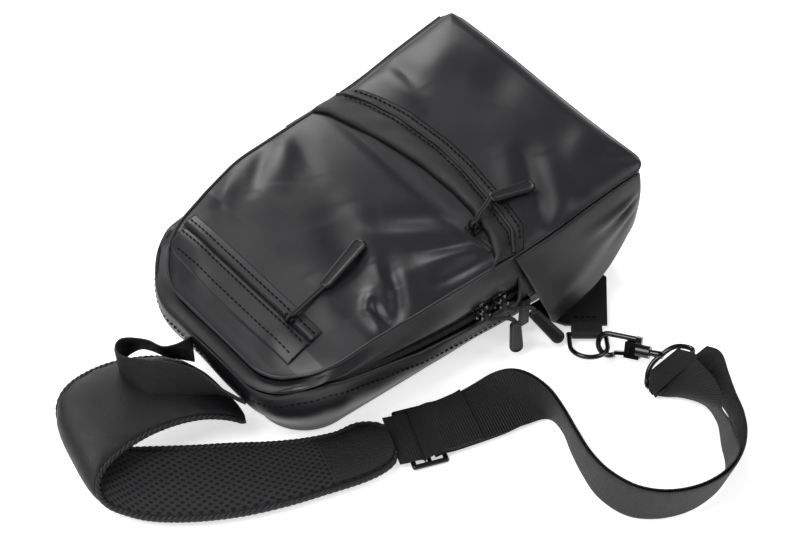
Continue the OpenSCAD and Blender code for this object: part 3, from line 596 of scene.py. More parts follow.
front_grid("front_lower_shell", lambda v: TIP_X + 0.01, lambda v: float(BAND_LO(v * 88)) + 6, 210, 150,
        ["front_panel_lower"], 1.35)
front_grid("front_upper_shell", lambda v: float(BAND_HI(v * 88)) - 6, wide_edge, 120, 150,
        ["front_panel_upper"])

# ---------------------------------------------------------------- side walls


def wall(name, P2, N2, rows, mat, nodes, rise=None, extra=None, slot=BAG_PU):
    """rows holds an inset and a height function of x, and rise how far each follows the raised rim."""
    P = np.zeros((len(P2), len(rows), 3))
    for j, (fi, fz) in enumerate(rows):
        i = fi(P2[:, 0])
        P[:, j, :2] = P2 - N2 * np.asarray(i)[:, None]
        P[:, j, 2] = fz(P2[:, 0])
        if rise is not None:
            P[:, j, 2] += rise[j] * (rim_h(P2[:, 0], P2[:, 1]) - rim_z(P2[:, 0]))
    if extra is not None:
        P = extra(P)
    return grid(name, P, mat, 1.0, nodes=nodes, slot=slot)


def ring_noise(P, amp=0.8, seed=0.0):
    """Pushes a wall in and out a little, less at its first and last row."""
    n = P.shape[1]
    w = np.sin(np.linspace(0, math.pi, n))[None, :]
    s = np.concatenate([[0], np.cumsum(np.linalg.norm(np.diff(P[:, n // 2, :2], axis=0), axis=1))])[:, None]
    z = P[:, :, 2]
    d = amp * w * (np.sin(s / 19.0 + z / 11.0 + seed) * 0.6 + np.sin(s / 8.5 - z / 9.0 + 2 * seed) * 0.35)
    T = np.gradient(P[:, n // 2, :2], axis=0)
    T /= np.linalg.norm(T, axis=1)[:, None]
    out = np.stack([-T[:, 1], T[:, 0]], -1)
    sign = np.sign((out * P[:, n // 2, :2]).sum(1))[:, None]
    P = P.copy()
    P[:, :, :2] += (out * sign)[:, None, :] * d[:, :, None]
    return P


part = U_P[:, 0] <= ZIP_END_X + 3
UP, UN = U_P[part], U_N[part]
full = lambda c: (lambda x: np.full(np.shape(x), float(c)))


def upper_row(t):
    """Inset and height of the strip between the rim and the zip, t from 0 at the rim to 1."""
    shape = 0.2 - 1.1 * math.sin(math.pi * t) + 1.4 * float(smooth((t - 0.86) / 0.14))
    fade = 1 - float(smooth(t * 1.6))
    return (lambda x: rim_in(x) * fade + shape), (lambda x: rim_z(x) + 0.2 + (zip_top(x) - rim_z(x) - 0.2) * t)


def lower_row(t):
    """The same below the zip: a rolled lip first, then the wall down to the floor."""
    if t < LIP_SHARE:
        a = t / LIP_SHARE * math.pi
        inset = 2.6 * math.cos(a / 2) ** 2 - 1.2 * math.sin(a / 2)
        return full(inset), (lambda x: lip_z(x) - 1.5 + 1.5 * math.sin(a))
    q = (t - LIP_SHARE) / (1 - LIP_SHARE)
    inset = -1.2 * (1 - q) + FLOOR_IN * float(smooth(q * 0.5 + 0.5 * q * q)) - 1.6 * math.sin(math.pi * q)
    return full(inset), (lambda x: (lip_z(x) - 1.5) * (1 - q) + FLOOR_GAP * q)


def wide_row(t):
    """The wall round the wide end, which bulges and then falls in towards the floor."""
    bulge = 0.5 - 2.4 * math.sin(math.pi * min(1, t * 1.2)) * float(smooth(t * 3))
    fall = float(smooth((t - 0.45) / 0.55)) ** 1.4
    return ((lambda x: bulge + (FLOOR_IN - 3.4 * smooth((x - 105) / 25)) * fall),
            (lambda x: rim_z(x) * (1 - t) + FLOOR_GAP * t))


n_up, n_lo, n_w = 16, 22, 30
rows = [upper_row(k / (n_up - 1)) for k in range(n_up)]
# The walls use the darker copy of the shell fabric, which is painted shade on the sides.
wall("upper_side_shell", UP, UN, rows, PU_SHADED_SIDE, ["upper_gusset"],
        rise=[1 - k / (n_up - 1) for k in range(n_up)], extra=lambda P: ring_noise(P, 0.7, 0.3))

rows = [lower_row(k / (n_lo - 1)) for k in range(n_lo)]
wall("lower_side_shell", UP, UN, rows, PU_SHADED_SIDE, ["lower_gusset"], extra=lambda P: ring_noise(P, 0.8, 1.1))

near_wide = (U_P[:, 0] > ZIP_END_X - 4) & (U_P[:, 1] < 0)
far_wide = (U_P[:, 0] > ZIP_END_X - 4) & (U_P[:, 1] > 0)
WP = np.concatenate([U_P[far_wide], W_P[1:], U_P[near_wide][1:]])
WN = np.concatenate([U_N[far_wide], W_N[1:], U_N[near_wide][1:]])
rows = [wide_row(k / (n_w - 1)) for k in range(n_w)]
wall("wide_side_shell", WP, WN, rows, PU_SHADED_SIDE, ["wide_gusset"], rise=[1 - k / (n_w - 1) for k in range(n_w)],
        extra=lambda P: ring_noise(P, 1.5, 2.2))

# cloth lining, a little inside the walls all the way round
LOOP_P = np.concatenate([U_P, W_P[1:-1], U_P[:1]])
LOOP_N = np.concatenate([U_N, W_N[1:-1], U_N[:1]])
levels = list(np.linspace(36, 6, 12)) + [5.6, 5.5]
rows = []
for k, z in enumerate(levels):
    rows.append((full(5.0 + 16.0 * ((38 - z) / 38) ** 1.2 + 11.0 * max(0, k - 11)), full(z)))
wall("lining_tray_cloth", LOOP_P, LOOP_N, rows, LINING, ["lining_tray"], slot="lining")

# rolled seam round the rim
rim_loop = np.concatenate([RIM[:, :2], (W_P - W_N * 0.5)[1:-1]])
rim_loop = np.column_stack([rim_loop, rim_h(rim_loop[:, 0], rim_loop[:, 1])])
rim_loop = np.vstack([rim_loop, rim_loop[:1]])
tube("rim_piping", rim_loop + np.array([0, 0, 0.1]), 1.15 - 0.45 * rolled(rim_loop[:, 0]), PU, 8, slot=BAG_PU)

stitches = []
low_line = UP + UN * 1.6
low_z = lip_z(UP[:, 0]) - 9.5
keep = UP[:, 0] < 34
stitches += stitch_parts(np.column_stack([low_line, low_z])[keep],
        np.column_stack([UN, np.zeros(len(UN))])[keep])

# ---------------------------------------------------------------- main zipper
zp = UP[:, 0] > -118
for side, tag in ((-1, "near"), (1, "far")):
    sel = zp & (UP[:, 1] * side > 0)
    a, b = UP[sel], UN[sel]
    rows_z = [zip_top(a[:, 0]) + 2.5, (zip_top(a[:, 0]) + lip_z(a[:, 0])) / 2, lip_z(a[:, 0]) - 3.0]
    P = np.zeros((len(a), 3, 3))
    for j, z in enumerate(rows_z):
        P[:, j, :2] = a - b * (2.6 if j != 1 else 3.0)
        P[:, j, 2] = z
    grid("zip_tape_%s" % tag, P, TAPE, 0.8, flip=(side > 0),
            nodes=["zip_tape_lower", "zip_tape_upper"] if side < 0 else [], slot="zip_tape")
teeth = []
for side in (-1, 1):
    sel = zp & (UP[:, 1] * side > 0)
    a, b = UP[sel], UN[sel]
    mid = (zip_top(a[:, 0]) * 0.45 + lip_z(a[:, 0]) * 0.55)
    P = np.column_stack([a - b * 2.0, mid])
    if P[0, 0] > P[-1, 0]:
        P = P[::-1]
    P = spline(P[::6], 300)
    s = np.concatenate([[0], np.cumsum(np.linalg.norm(np.diff(P, axis=0), axis=1))])
    for row in (-1, 1):
        q = np.arange(0, s[-1], 0.33)
        C = np.column_stack([np.interp(q, s, P[:, c]) for c in range(3)])
        ang = q / 1.5 * 2 * math.pi + (math.pi if row > 0 else 0)
        C[:, 2] += row * 1.3 + 1.1 * np.cos(ang)
        C[:, 1] += side * (0.6 + 0.6 * np.sin(ang))
        teeth.append(tube_data(C, 0.42, 5))
joined("main_zip_coil", teeth, TEETH, nodes=["zip_teeth_lower", "zip_teeth_upper"], slot="zip_teeth")

# ---------------------------------------------------------------- band across the front
ny, nb = 130, 22
ys = np.linspace(-89.5, 91, ny)
P = np.zeros((ny, nb, 3))
for i, y in enumerate(ys):
    a, b = float(BAND_LO(y)), float(BAND_HI(y))
    for j in range(nb):
        t = j / (nb - 1)
        x = a + (b - a) * t
        hw = float(rim_half(x))
        over = max(0.0, abs(y) - hw)
        z = float(front(x, np.clip(y, -hw, hw)))
        lift = 3.4 * (1 - math.exp(-t / 0.05)) * (1 - 0.45 * smooth((t - 0.1) / 0.7))
        lift += 0.9 * math.sin(math.pi * t)
        lift += 0.25 * math.sin(y / 9.0 + 3 * t) + 0.2 * math.sin(y / 4.1 + 5 * t)
        z = z + lift - over * 1.6
        P[i, j] = (x, y - math.copysign(over * 0.4, y), z)
grid("band_leather_strip", P, LEATHER, 1.6, flip=True, nodes=["front_band"], slot="grain_leather")

P = np.zeros((ny, 8, 3))
for i, y in enumerate(ys):
    b = float(BAND_HI(y))
    for j in range(8):
        t = j / 7
        x = b - 0.5 + 9.5 * t
        hw = float(rim_half(x))
        over = max(0.0, abs(y) - hw)
        P[i, j] = (x, y, float(front(x, np.clip(y, -hw, hw))) + 0.9 * (1 - t ** 6) + 0.15 - over * 1.6)
grid("band_edge_strip", P, LEATHER, 0.8, flip=True, slot="grain_leather")
pp = np.array([(float(BAND_HI(y)), y, float(front(float(BAND_HI(y)), np.clip(y, -88.5, 88.5))) + 2.0)
        for y in np.linspace(-89, 90, 120)])
tube("band_piping", pp, 1.3, LEATHER, 8, slot="grain_leather")
for off, h in ((-3.2, 2.35), (5.6, 1.15)):
    xy = [(float(BAND_HI(y)) + off, y) for y in np.linspace(-85, 85, 120)]
    q, n = on_front_path(xy, h if off > 0 else h + 0.55)
    stitches += stitch_parts(q, n)

# ---------------------------------------------------------------- pocket strip and its zipper
ys = np.linspace(-57, 71, 90)
STRIP_LO = curve((-57, -123.5), (20, -124.5), (60, -122), (71, -119))
P = np.zeros((len(ys), 14, 3))
for i, y in enumerate(ys):
    for j in range(14):
        t = j / 13
        x = float(STRIP_LO(y)) + (-105.6 - float(STRIP_LO(y))) * t
        y2 = np.clip(y, -rim_half(x) + 1, rim_half(x) - 1)
        P[i, j] = (x, y2, float(front(x, y2)) + 0.9 + 0.5 * math.sin(math.pi * t))
grid("pocket_strip_skin", P, PU, 1.0, flip=True, nodes=["pocket_strip"], slot="grain_leather")
for x0, y0, y1 in ((-117.5, -54, 66), (-108.0, -54, 72), (-99.4, -56, 74)):
    xy = [(x0, y) for y in np.linspace(y0, y1, 80)]
    q, n = on_front_path(xy, 1.35)
    stitches += stitch_parts(q, n)
xy = [(x, -56.5) for x in np.linspace(-122, -99.5, 20)]
q, n = on_front_path(xy, 0.9)
stitches += stitch_parts(q, n)
q, n = on_front_path([(-102.8, y) for y in np.linspace(-55, 73, 260)], 0.3)
s = np.concatenate([[0], np.cumsum(np.linalg.norm(np.diff(q, axis=0), axis=1))])
coil = []
for row in (-1, 1):
    k = np.arange(0, s[-1], 0.33)
    C = np.column_stack([np.interp(k, s, q[:, c]) for c in range(3)])
    ang = k / 1.5 * 2 * math.pi
    C[:, 0] += row * 1.0 + 0.8 * np.cos(ang)
    C[:, 2] += 0.2 + 0.4 * np.sin(ang)
    coil.append(tube_data(C, 0.4, 5))
joined("pocket_zip_coil", coil, TEETH, nodes=["pocket_zip_teeth"], slot="zip_teeth")
P = np.zeros((90, 12, 3))
for i, y in enumerate(np.linspace(-56.5, 74.5, 90)):
    for j in range(12):
        t = j / 11
        x = -104.3 + 9.0 * t
        P[i, j] = (x, y, float(front(x, y)) + 0.25 + 1.5 * (1 - t ** 1.6) * (1 - math.exp(-t / 0.08)))
grid("pocket_edge_fold", P, PU, 0.8, flip=True, slot=BAG_PU)
P = np.zeros((90, 5, 3))
for i, y in enumerate(np.linspace(-55.5, 73.5, 90)):
    for j in range(5):
        x = -105.8 + 6.0 * j / 4
        P[i, j] = (x, y, float(front(x, y)) + 0.18)
grid("pocket_zip_tape_skin", P, TAPE, 0.3, flip=True, nodes=["pocket_zip_tape"], slot="zip_tape")


# ---------------------------------------------------------------- wings folded over the sides
def wing(name, side, top, low, nodes):
    """top and low are lists of points on the near side; side -1 is the near one."""
    nu, nv = 70, 40
    a = spline(top, nu)
    b = spline(low, nu)
    P = np.zeros((nu, nv, 3))
    for j in range(nv):
        t = j / (nv - 1)
        P[:, j] = a * (1 - t) + b * t
        u = np.linspace(0, 1, nu)
        P[:, j, 1] -= 3.2 * math.sin(math.pi * t ** 0.8) * (0.5 + 0.5 * np.sin(math.pi * u))
        fold = 2.2 * np.exp(-((t - 0.16 - 0.22 * u) / 0.07) ** 2) * smooth((u - 0.35) / 0.5)
        fold -= 1.9 * np.exp(-((t - 0.3 - 0.2 * u) / 0.08) ** 2) * smooth((u - 0.4) / 0.5)
        fold += 1.6 * np.exp(-((t - 0.46 - 0.16 * u) / 0.09) ** 2) * smooth((u - 0.45) / 0.5)
        fold -= 1.4 * np.exp(-((t - 0.62 - 0.1 * u) / 0.08) ** 2) * smooth((u - 0.5) / 0.5)
        fold += 1.2 * np.exp(-((t - 0.8 + 0.5 * u) / 0.12) ** 2) * (1 - u)
        fold += 0.35 * np.sin(9 * u + 7 * t) * math.sin(math.pi * t)
        P[:, j, 1] -= fold * smooth((1 - u) / 0.2) * float(smooth(t / 0.14))
    P[:, :, 1] *= -side
    ob = grid(name, P, PU, 1.4, flip=(side > 0), nodes=nodes, slot=BAG_PU)
    return ob, P


def wing_top(xs, out=0.9, drop=0.4, side=-1):
    return [(x, -float(half_w(x)) - out + 0.5, float(rim_h(x, side * float(half_w(x)))) - drop) for x in xs]


_, WN_P = wing("wing_near_flap", -1, wing_top((31, 60, 90, 115, 134)),
        [(58, -103, 9.5), (82, -105.5, 19), (106, -104, 31), (128, -100, 50), (134, -98, 60)], ["wing_near"])
_, WF_P = wing("wing_far_flap", 1, wing_top((-8, 31, 60, 90, 115, 134), side=1),
        [(40, -100, 30), (70, -103, 20), (106, -103, 31), (128, -100, 50), (134, -98, 60)], ["wing_far"])
for Pw, tag in ((WN_P, -1), (WF_P, 1)):
    line = Pw[3, 2:38]
    out = np.tile([0.0, float(tag), 0.1], (len(line), 1))
    stitches += stitch_parts(line + np.array([0, tag * 0.25, 0]), out)
for sgn in (-1, 1):
    c, sn = math.cos(math.radians(40.5)), math.sin(math.radians(40.5))
    for back_off in (3.2, 14.0):
        a = np.array([71 - c * 9.5 + sn * back_off, sgn * (123 - sn * 9.5 - c * back_off), 5.75])
        b = np.array([71 + c * 9.5 + sn * back_off, sgn * (123 + sn * 9.5 - c * back_off), 5.75])
        line = a + (b - a) * np.linspace(0, 1, 12)[:, None]
        stitches += stitch_parts(line, np.tile([0, 0, 1.0], (12, 1)))
joined("seam_stitches", stitches, THREAD, slot="cord")


# ---------------------------------------------------------------- pullers
def puller_tab(name, start, end, up, width, thick, body, nodes):
    """A moulded tab with a bevelled rim and a flat inset top."""
    A, B = np.array(start, float), np.array(end, float)
    X = (B - A) / np.linalg.norm(B - A)
    U = np.array(up, float)
    U = U - X * U.dot(X)
    U /= np.linalg.norm(U)
    Y = np.cross(U, X)
    L = np.linalg.norm(B - A)
    rings = [(2.4, -thick / 2), (0.8, -thick / 2), (0.0, -thick / 4), (0.0, thick / 6),
            (0.45, thick / 2 - 0.35),
             (1.0, thick / 2), (1.5, thick / 2 - 0.05), (1.8, thick / 2 - 0.45), (2.6, thick / 2 - 0.5)]
    n = 20
    V = []
    for inset, h in rings:
        r0 = width / 2 * 0.82 - inset
        r1 = width / 2 - inset
        for k in range(n + 1):
            a = math.pi / 2 + math.pi * k / n
            V.append(A + X * (width / 2 * 0.82 + r0 * math.cos(a)) + Y * (r0 * math.sin(a)) + U * h)
        for k in range(n + 1):
            a = -math.pi / 2 + math.pi * k / n
            V.append(A + X * (L - width / 2 + r1 * math.cos(a)) + Y * (r1 * math.sin(a)) + U * h)
    m = 2 * (n + 1)
    F = grid_faces(len(rings), m, closed_v=True)
    F.append(tuple(range(m)))
    F.append(tuple(range((len(rings) - 1) * m, len(rings) * m))[::-1])
    ob = make(name, V, F, RUBBER, body=body, nodes=nodes, slot="puller_rubber")
    mod = ob.modifiers.new("crisp", "EDGE_SPLIT")
    mod.split_angle = math.radians(50)
    return ob


def puller_cord(name, pivot, axis, points, body, nodes):
    """A cord looped round the bail's bar, both strands running side by side to the tab."""
    pivot = np.array(pivot, float)
    ax = np.array(axis, float)
    ax /= np.linalg.norm(ax)
    pts = np.array(points, float)
    first = pts[0] - pivot
    first = first - ax * first.dot(ax)
    first /= np.linalg.norm(first)
    side = np.cross(ax, first)
    loop = []
    for k in range(13):
        a = math.radians(62) + math.radians(236) * k / 12
        loop.append(pivot + 1.85 * (first * math.cos(a) + side * math.sin(a)))
    run = spline(np.vstack([pivot + first * 2.2, pts]), 40)
    strand_a = run + ax * 0.9
    strand_b = run - ax * 0.9
    bend = np.array(loop) + ax * np.linspace(0.5, -0.5, 13)[:, None]
    whole = spline(np.vstack([strand_a[::-1][:-2], bend, strand_b[2:]]), 150)
    return joined(name, [tube_data(whole, 0.95, 8)], CORD, body=body, nodes=nodes, slot="cord")


AX = np.array([math.cos(math.atan(14 / 288)), -math.sin(math.atan(14 / 288)), 0.0])
OUT = np.array([AX[1], -AX[0], 0.0])
BASE = np.array([0.0, -87.9, 47.5])
UPV = np.array([0.0, 0.0, 1.0])
bar_a = BASE + 20 * AX + 6.1 * OUT
bar_b = BASE + 5 * AX + 6.1 * OUT
puller_cord("main_cord_right", bar_a, AX, [bar_a + AX * 4 + OUT * 5 - UPV * 2,
        bar_a + AX * 13 + OUT * 7 - UPV * 5, bar_a + AX * 22 + OUT * 4.5 - UPV * 15, (44.0, -98.5, 25.5)],
        "main_puller_a", ["main_cord_a"])
puller_tab("main_tab_right", (43.0, -97.6, 26.5), (54.5, -116.5, 4.6), (-0.5, -0.45, 0.74), 9.2, 3.4,
        "main_puller_a", ["main_tab_a"])
puller_cord("main_cord_left", bar_b, AX, [bar_b + AX * 4 + OUT * 4 - UPV * 2.5,
        bar_b + AX * 13 + OUT * 5 - UPV * 7, bar_b + AX * 20 + OUT * 4 - UPV * 14, (26.6, -100.3, 29.0)],
        "main_puller_b", ["main_cord_b"])
puller_tab("main_tab_left", (26.6, -99.8, 30.5), (26.0, -103.5, 4.4), (-0.45, -0.85, 0.2), 9.2, 3.4,
        "main_puller_b", ["main_tab_b"])
pk = np.array([-104.26, -35.0, 75.71])
zf = lambda x, y, h: (x, y, float(front(x, y)) + h)
puller_cord("pocket_cord_loop", pk, (0, 1, 0), [(-98, -35, 77.6), (-88, -34.6, float(front(-88, -34)) + 2.6),
        (-76, -34, float(front(-76, -34)) + 2.4)], "pocket_puller", ["pocket_cord"])
puller_tab("pocket_tab_grip", zf(-77, -34.2, 2.2), zf(-36, -23.5, 2.6), (0, 0, 1), 9.4, 3.4, "pocket_puller",
        ["pocket_tab"])
bn = np.array([25.77, -58.0, 87.89])
puller_cord("band_cord_loop", bn, (0, 1, 0), [(31, -57, 92.6), (38, -55, 93.6), (45.5, -51.8, 93.8)],
        "band_puller", ["band_cord"])
puller_tab("band_tab_grip", (44.5, -51.6, 93.6), zf(75.5, -60.5, 4.0), (0.1, -0.1, 1), 9.4, 3.6, "band_puller",
        ["band_tab"])

# ---------------------------------------------------------------- padded part of the strap
PAD = [
    ((-147.1, -40, 15), (-147.1, 12, 15)), ((-156, -35, 21.5), (-153, 19, 21)),
            ((-168, -28.5, 26), (-163, 26, 26.5)),
    ((-182, -23, 28), (-177, 32, 30.5)), ((-198, -19, 28.6), (-193, 36, 34)),
    ((-214, -17.5, 28.4), (-208, 37, 36.4)),
    ((-228, -18, 27), (-221, 36, 37)), ((-239, -20, 23.6), (-231, 33, 34.5)),
    ((-245, -23, 18.2), (-237, 28, 28.5)),
    ((-247, -28, 12.6), (-238, 22, 21)), ((-245.5, -34, 8.4), (-234, 14, 13.5)),
    ((-241, -42, 6.6), (-226, 5, 8.8)),
    ((-233, -54, 6.2), (-214, -6, 6.8)), ((-221, -66, 6.2), (-199, -18, 6.4)),
    ((-204, -79, 6.2), (-181, -32, 6.2)),
    ((-184, -91, 6.2), (-162, -46, 6.2)), ((-160, -102, 6.2), (-144, -60, 6.2)),
    ((-138, -110, 6.2), (-126, -72, 6.2)),
    ((-118, -117, 6.2), (-108, -81, 6.2)), ((-104, -120, 6.2), (-94, -84, 6.2)),
    ((-94, -119.5, 6.2), (-85, -90, 6.2)),
    ((-87.9, -115.7, 6.2), (-80.1, -97.3, 6.2)),
]
pad_line = spline([list(a) + list(b) for a, b in PAD], 260)
near_e, far_e = pad_line[:, :3], pad_line[:, 3:]
mid = (near_e + far_e) / 2
T = np.gradient(mid, axis=0)
T /= np.linalg.norm(T, axis=1)[:, None]
Wd = far_e - near_e
Wl = np.linalg.norm(Wd, axis=1)
Wd = Wd / Wl[:, None]
Nd = np.cross(T, Wd)
Nd /= np.linalg.norm(Nd, axis=1)[:, None]
pad_s = np.concatenate([[0], np.cumsum(np.linalg.norm(np.diff(mid, axis=0), axis=1))])


def pad_face(name, lo, hi_c, edge, mat, nodes, slot, flip, pucker=0.0, first=0, share=1.0):
    """One skin of the pad: from edge to edge, crowned by hi_c in the middle."""
    nv = 34
    P = np.zeros((len(mid), nv, 3))
    for j in range(nv):
        t = share * (-1 + 2 * j / (nv - 1))
        prof = (1 - abs(t) ** 3.2) ** 0.55
        h = lo + (hi_c - lo) * prof
        k = pucker * np.sin(pad_s / 2.3) * math.exp(-((abs(t) - 0.93) / 0.06) ** 2)
        P[:, j] = mid + Wd * (t * (Wl / 2 + edge))[:, None] + Nd * (h + k)[:, None]
    uv = np.stack(np.meshgrid(pad_s, np.linspace(0, 52, nv), indexing="ij"), -1)
    return grid(name, P[first:], mat, 1.0, uv=uv[first:], flip=flip, nodes=nodes, slot=slot)


outer = pad_face("pad_leather_skin", np.full(len(mid), -0.6), np.full(len(mid), -5.0), 0.8, PAD_LEATHER,
        ["pad_cover", "pad_foam"], "grain_leather", True, 0.35)
inner = pad_face("pad_mesh_skin", np.full(len(mid), 0.4), np.full(len(mid), 4.6), 0.0, MESH, ["pad_mesh"],
        "air_mesh", False)
patch = pad_face("pad_end_patch", np.full(len(mid), 0.9), np.full(len(mid), 5.3), 0.0, PATCH, [],
        "grain_leather",
                 False, first=int(np.searchsorted(pad_s, pad_s[-1] - 46)), share=0.93)
for sgn, tag in ((-1, "near"), (1, "far")):
    e = mid + Wd * (sgn * (Wl / 2 + 0.6))[:, None]
    strands = []
    for k in (0, 1, 2):
        th = pad_s * 2 * math.pi / 11.0 + 2 * math.pi * k / 3
        strands.append(tube_data(e + Nd * (0.4 + 1.0 * np.cos(th))[:, None] + Wd * (1.0 * np.sin(th))[:, None],
                1.25, 8))
    joined("pad_binding_%s" % tag, strands, PAD_LEATHER, slot="grain_leather")

# ---------------------------------------------------------------- webbing strap
ROUTE = [
    ((-62.7, -114.9, 4.4), (0.39, 0.92, 0.00)), ((-56.5, -117.5, 6.2), (0.39, 0.92, 0.00)),
            ((-50, -120, 5.6), (0.38, 0.92, 0.00)),
    ((-38, -123.5, 5.8), (0.34, 0.94, 0.05)), ((-22, -128, 7.6), (0.25, 0.93, 0.25)),
    ((-8, -134, 13.2), (0.10, 0.80, 0.60)),
    ((1, -144, 18.4), (-0.10, 0.45, 0.88)), ((4, -157, 19.6), (-0.20, 0.05, 0.98)),
    ((1, -172, 19.6), (-0.24, -0.10, 0.96)),
    ((-5, -187, 19.6), (-0.22, -0.20, 0.95)), ((-11, -204, 19.8), (-0.18, -0.22, 0.96)),
    ((-14, -222, 20), (-0.10, -0.20, 0.97)),
    ((-10, -241, 20), (-0.06, -0.18, 0.98)), ((2, -255, 20), (-0.06, -0.20, 0.98)),
    ((20, -264, 20), (-0.06, -0.22, 0.97)),
    ((40, -266, 20), (-0.08, -0.24, 0.97)), ((58, -261, 20), (-0.14, -0.26, 0.96)),
]
OUTER_END = [
    ((72, -252, 20), (-0.20, -0.28, 0.94)), ((83, -240, 20), (-0.26, -0.30, 0.92)),
            ((90, -226, 20), (-0.24, -0.32, 0.92)),
    ((94, -212, 21.5), (-0.05, -0.38, 0.92)), ((94, -200, 23), (0.35, -0.35, 0.87)),
    ((89.2, -189.9, 21.4), (0.62, -0.30, 0.73)),
]
INNER_END = [
    ((69, -247, 19.8), (-0.24, -0.32, 0.92)), ((77, -236, 19), (-0.36, -0.42, 0.83)),
            ((82, -223, 17.4), (-0.34, -0.55, 0.76)),
    ((84, -211, 16), (0.10, -0.66, 0.74)), ((83, -200, 15.2), (0.46, -0.50, 0.73)),
    ((82, -190, 14.6), (0.62, -0.28, 0.73)),
]


def webbing(name, stations, width, lo, hi, mat, n=170, **kw):
    L = spline([list(p) + list(w) for p, w in stations], n)
    C, W = L[:, :3], L[:, 3:]
    W = W / np.linalg.norm(W, axis=1)[:, None]
    T = np.gradient(C, axis=0)
    T /= np.linalg.norm(T, axis=1)[:, None]
    N = np.cross(T, W)
    N /= np.linalg.norm(N, axis=1)[:, None]
    s = np.concatenate([[0], np.cumsum(np.linalg.norm(np.diff(C, axis=0), axis=1))])
    half = np.interp(np.linspace(0, 1, n), np.linspace(0, 1, np.size(width)), np.atleast_1d(width)) / 2
    nv = 15
    ring = [(t, hi) for t in np.linspace(-1, 1, nv)] + [(t, lo) for t in np.linspace(1, -1, nv)]
    V = np.zeros((n, len(ring), 3))
    uv = np.zeros((n, len(ring), 2))
    for j, (t, h) in enumerate(ring):
        squeeze = 0.25 * (abs(t) > 0.99)
        hh = h + (squeeze if h < (lo + hi) / 2 else -squeeze) * (hi - lo)
        V[:, j] = C + W * (t * half)[:, None] + N * hh
        uv[:, j, 0] = s
        uv[:, j, 1] = (t + 1) * half
    F = grid_faces(n, len(ring), closed_v=True)
    F.append(tuple(range(len(ring))))
    F.append(tuple(range((n - 1) * len(ring), n * len(ring)))[::-1])
    ob = make(name, V.reshape(-1, 3), F, mat, uv=uv.reshape(-1, 2), **kw)
    mod = ob.modifiers.new("crisp", "EDGE_SPLIT")
    mod.split_angle = math.radians(50)
    return ob, C + N * ((lo + hi) / 2)


outer_web, outer_path = webbing("strap_outer_web", ROUTE + OUTER_END, 38, 0.25, 1.75, WEB,
        nodes=["strap_outer"], slot="webbing")
inner_web, inner_path = webbing("strap_inner_web", ROUTE + INNER_END, 38, -1.75, -0.25, WEB,
        nodes=["strap_inner"], slot="webbing")

# ---------------------------------------------------------------- handle
HANDLE = [
    ((-145.4, 14, 33), (0, 0, 1)), ((-149.5, 13.5, 35.5), (-0.1, -0.1, 0.98)),
    ((-157, 13.5, 40), (-0.2, -0.25, 0.94)), ((-164.5, 16, 44), (-0.28, -0.33, 0.9)),
    ((-169.5, 23, 47), (-0.27, -0.32, 0.9)), ((-174.5, 27.3, 49), (-0.27, -0.32, 0.9)),
    ((-180, 29.8, 49.5), (-0.2, -0.24, 0.93)), ((-185.4, 30.2, 49.5), (-0.12, -0.15, 0.97)),
    ((-190, 28, 49), (-0.1, -0.11, 0.98)), ((-193, 22.6, 48.2), (-0.06, -0.07, 0.99)),
    ((-190.9, 15.6, 47), (0, 0, 1)), ((-184.8, 3.5, 46.5), (0.2, 0.24, 0.95)),
    ((-176.8, -3.4, 45.5), (0.2, 0.24, 0.95)), ((-168.2, -10.7, 43.5), (0.115, 0.134, 0.984)),
    ((-160.3, -18.7, 41), (-0.07, -0.09, 0.99)), ((-153.4, -27.7, 37.5), (-0.32, -0.38, 0.87)),
    ((-148, -36.5, 33.5), (-0.35, -0.41, 0.84)), ((-145.4, -39.5, 31.5), (-0.35, -0.4, 0.84)),
]
webbing("handle_webbing_loop", HANDLE, 25, -0.9, 0.9, TWILL, 110, nodes=["handle_loop"], slot="webbing")

# the strap's sewn end round the glide's middle bar, and the pad's tail over its first bar
WRAP = [
    ((-68.0, -112.6, 1.2), (0.39, 0.92, 0)), ((-68.7, -112.4, 2.8), (0.39, 0.92, 0)),
            ((-67.4, -112.9, 4.6), (0.39, 0.92, 0)),
    ((-64.6, -114.1, 5.9), (0.39, 0.92, 0)), ((-61.4, -115.5, 7.7), (0.39, 0.92, 0)),
    ((-56.5, -117.5, 8.9), (0.39, 0.92, 0)),
    ((-50, -120, 8.4), (0.38, 0.92, 0)), ((-38, -123.5, 8.6), (0.34, 0.94, 0.05)),
    ((-33, -124.9, 9.0), (0.31, 0.94, 0.12)),
]
webbing("glide_wrap_web", WRAP, 38.4, -0.7, 0.7, WEB, 70, body="glide", slot="webbing")
TAIL = [((-83.5, -106.1, 5.2), (0.39, 0.92, 0)), ((-79, -108, 4.7), (0.39, 0.92, 0)),
        ((-75.5, -109.5, 4.9), (0.39, 0.92, 0)),
        ((-71.5, -111.2, 4.6), (0.39, 0.92, 0)), ((-68.9, -112.3, 3.4), (0.39, 0.92, 0)),
        ((-68.4, -112.5, 2.4), (0.39, 0.92, 0))]
webbing("pad_tail_web", TAIL, 37.6, -0.6, 0.6, WEB, 40, nodes=["pad_tail"], slot="webbing")

# the hook's eye as bent wire, with the end of the strap folded through it
EYE_A, EYE_B, HOOK_D = [np.array(v) / np.linalg.norm(v) for v in ((0.35, 0.93, -0.1), (0.76, -0.235, 0.6),
        (-0.43, 0.885, -0.17))]
EYE_TOP = np.array([88.59, -171.76, 14.24])
EYE_BAR = EYE_TOP - EYE_A * 15
EYE_N = np.cross(EYE_B, EYE_A)


def rounded(points, r, n=7):
    """A closed polygon with its corners rounded off."""
    out = []
    for k, p in enumerate(points):
        a = points[k - 1] - p
        b = points[(k + 1) % len(points)] - p
        a, b = a / np.linalg.norm(a), b / np.linalg.norm(b)
        for t in np.linspace(0, 1, n):
            out.append(p + a * r * (1 - t) ** 2 + b * r * t ** 2)
    return np.array(out + out[:1])


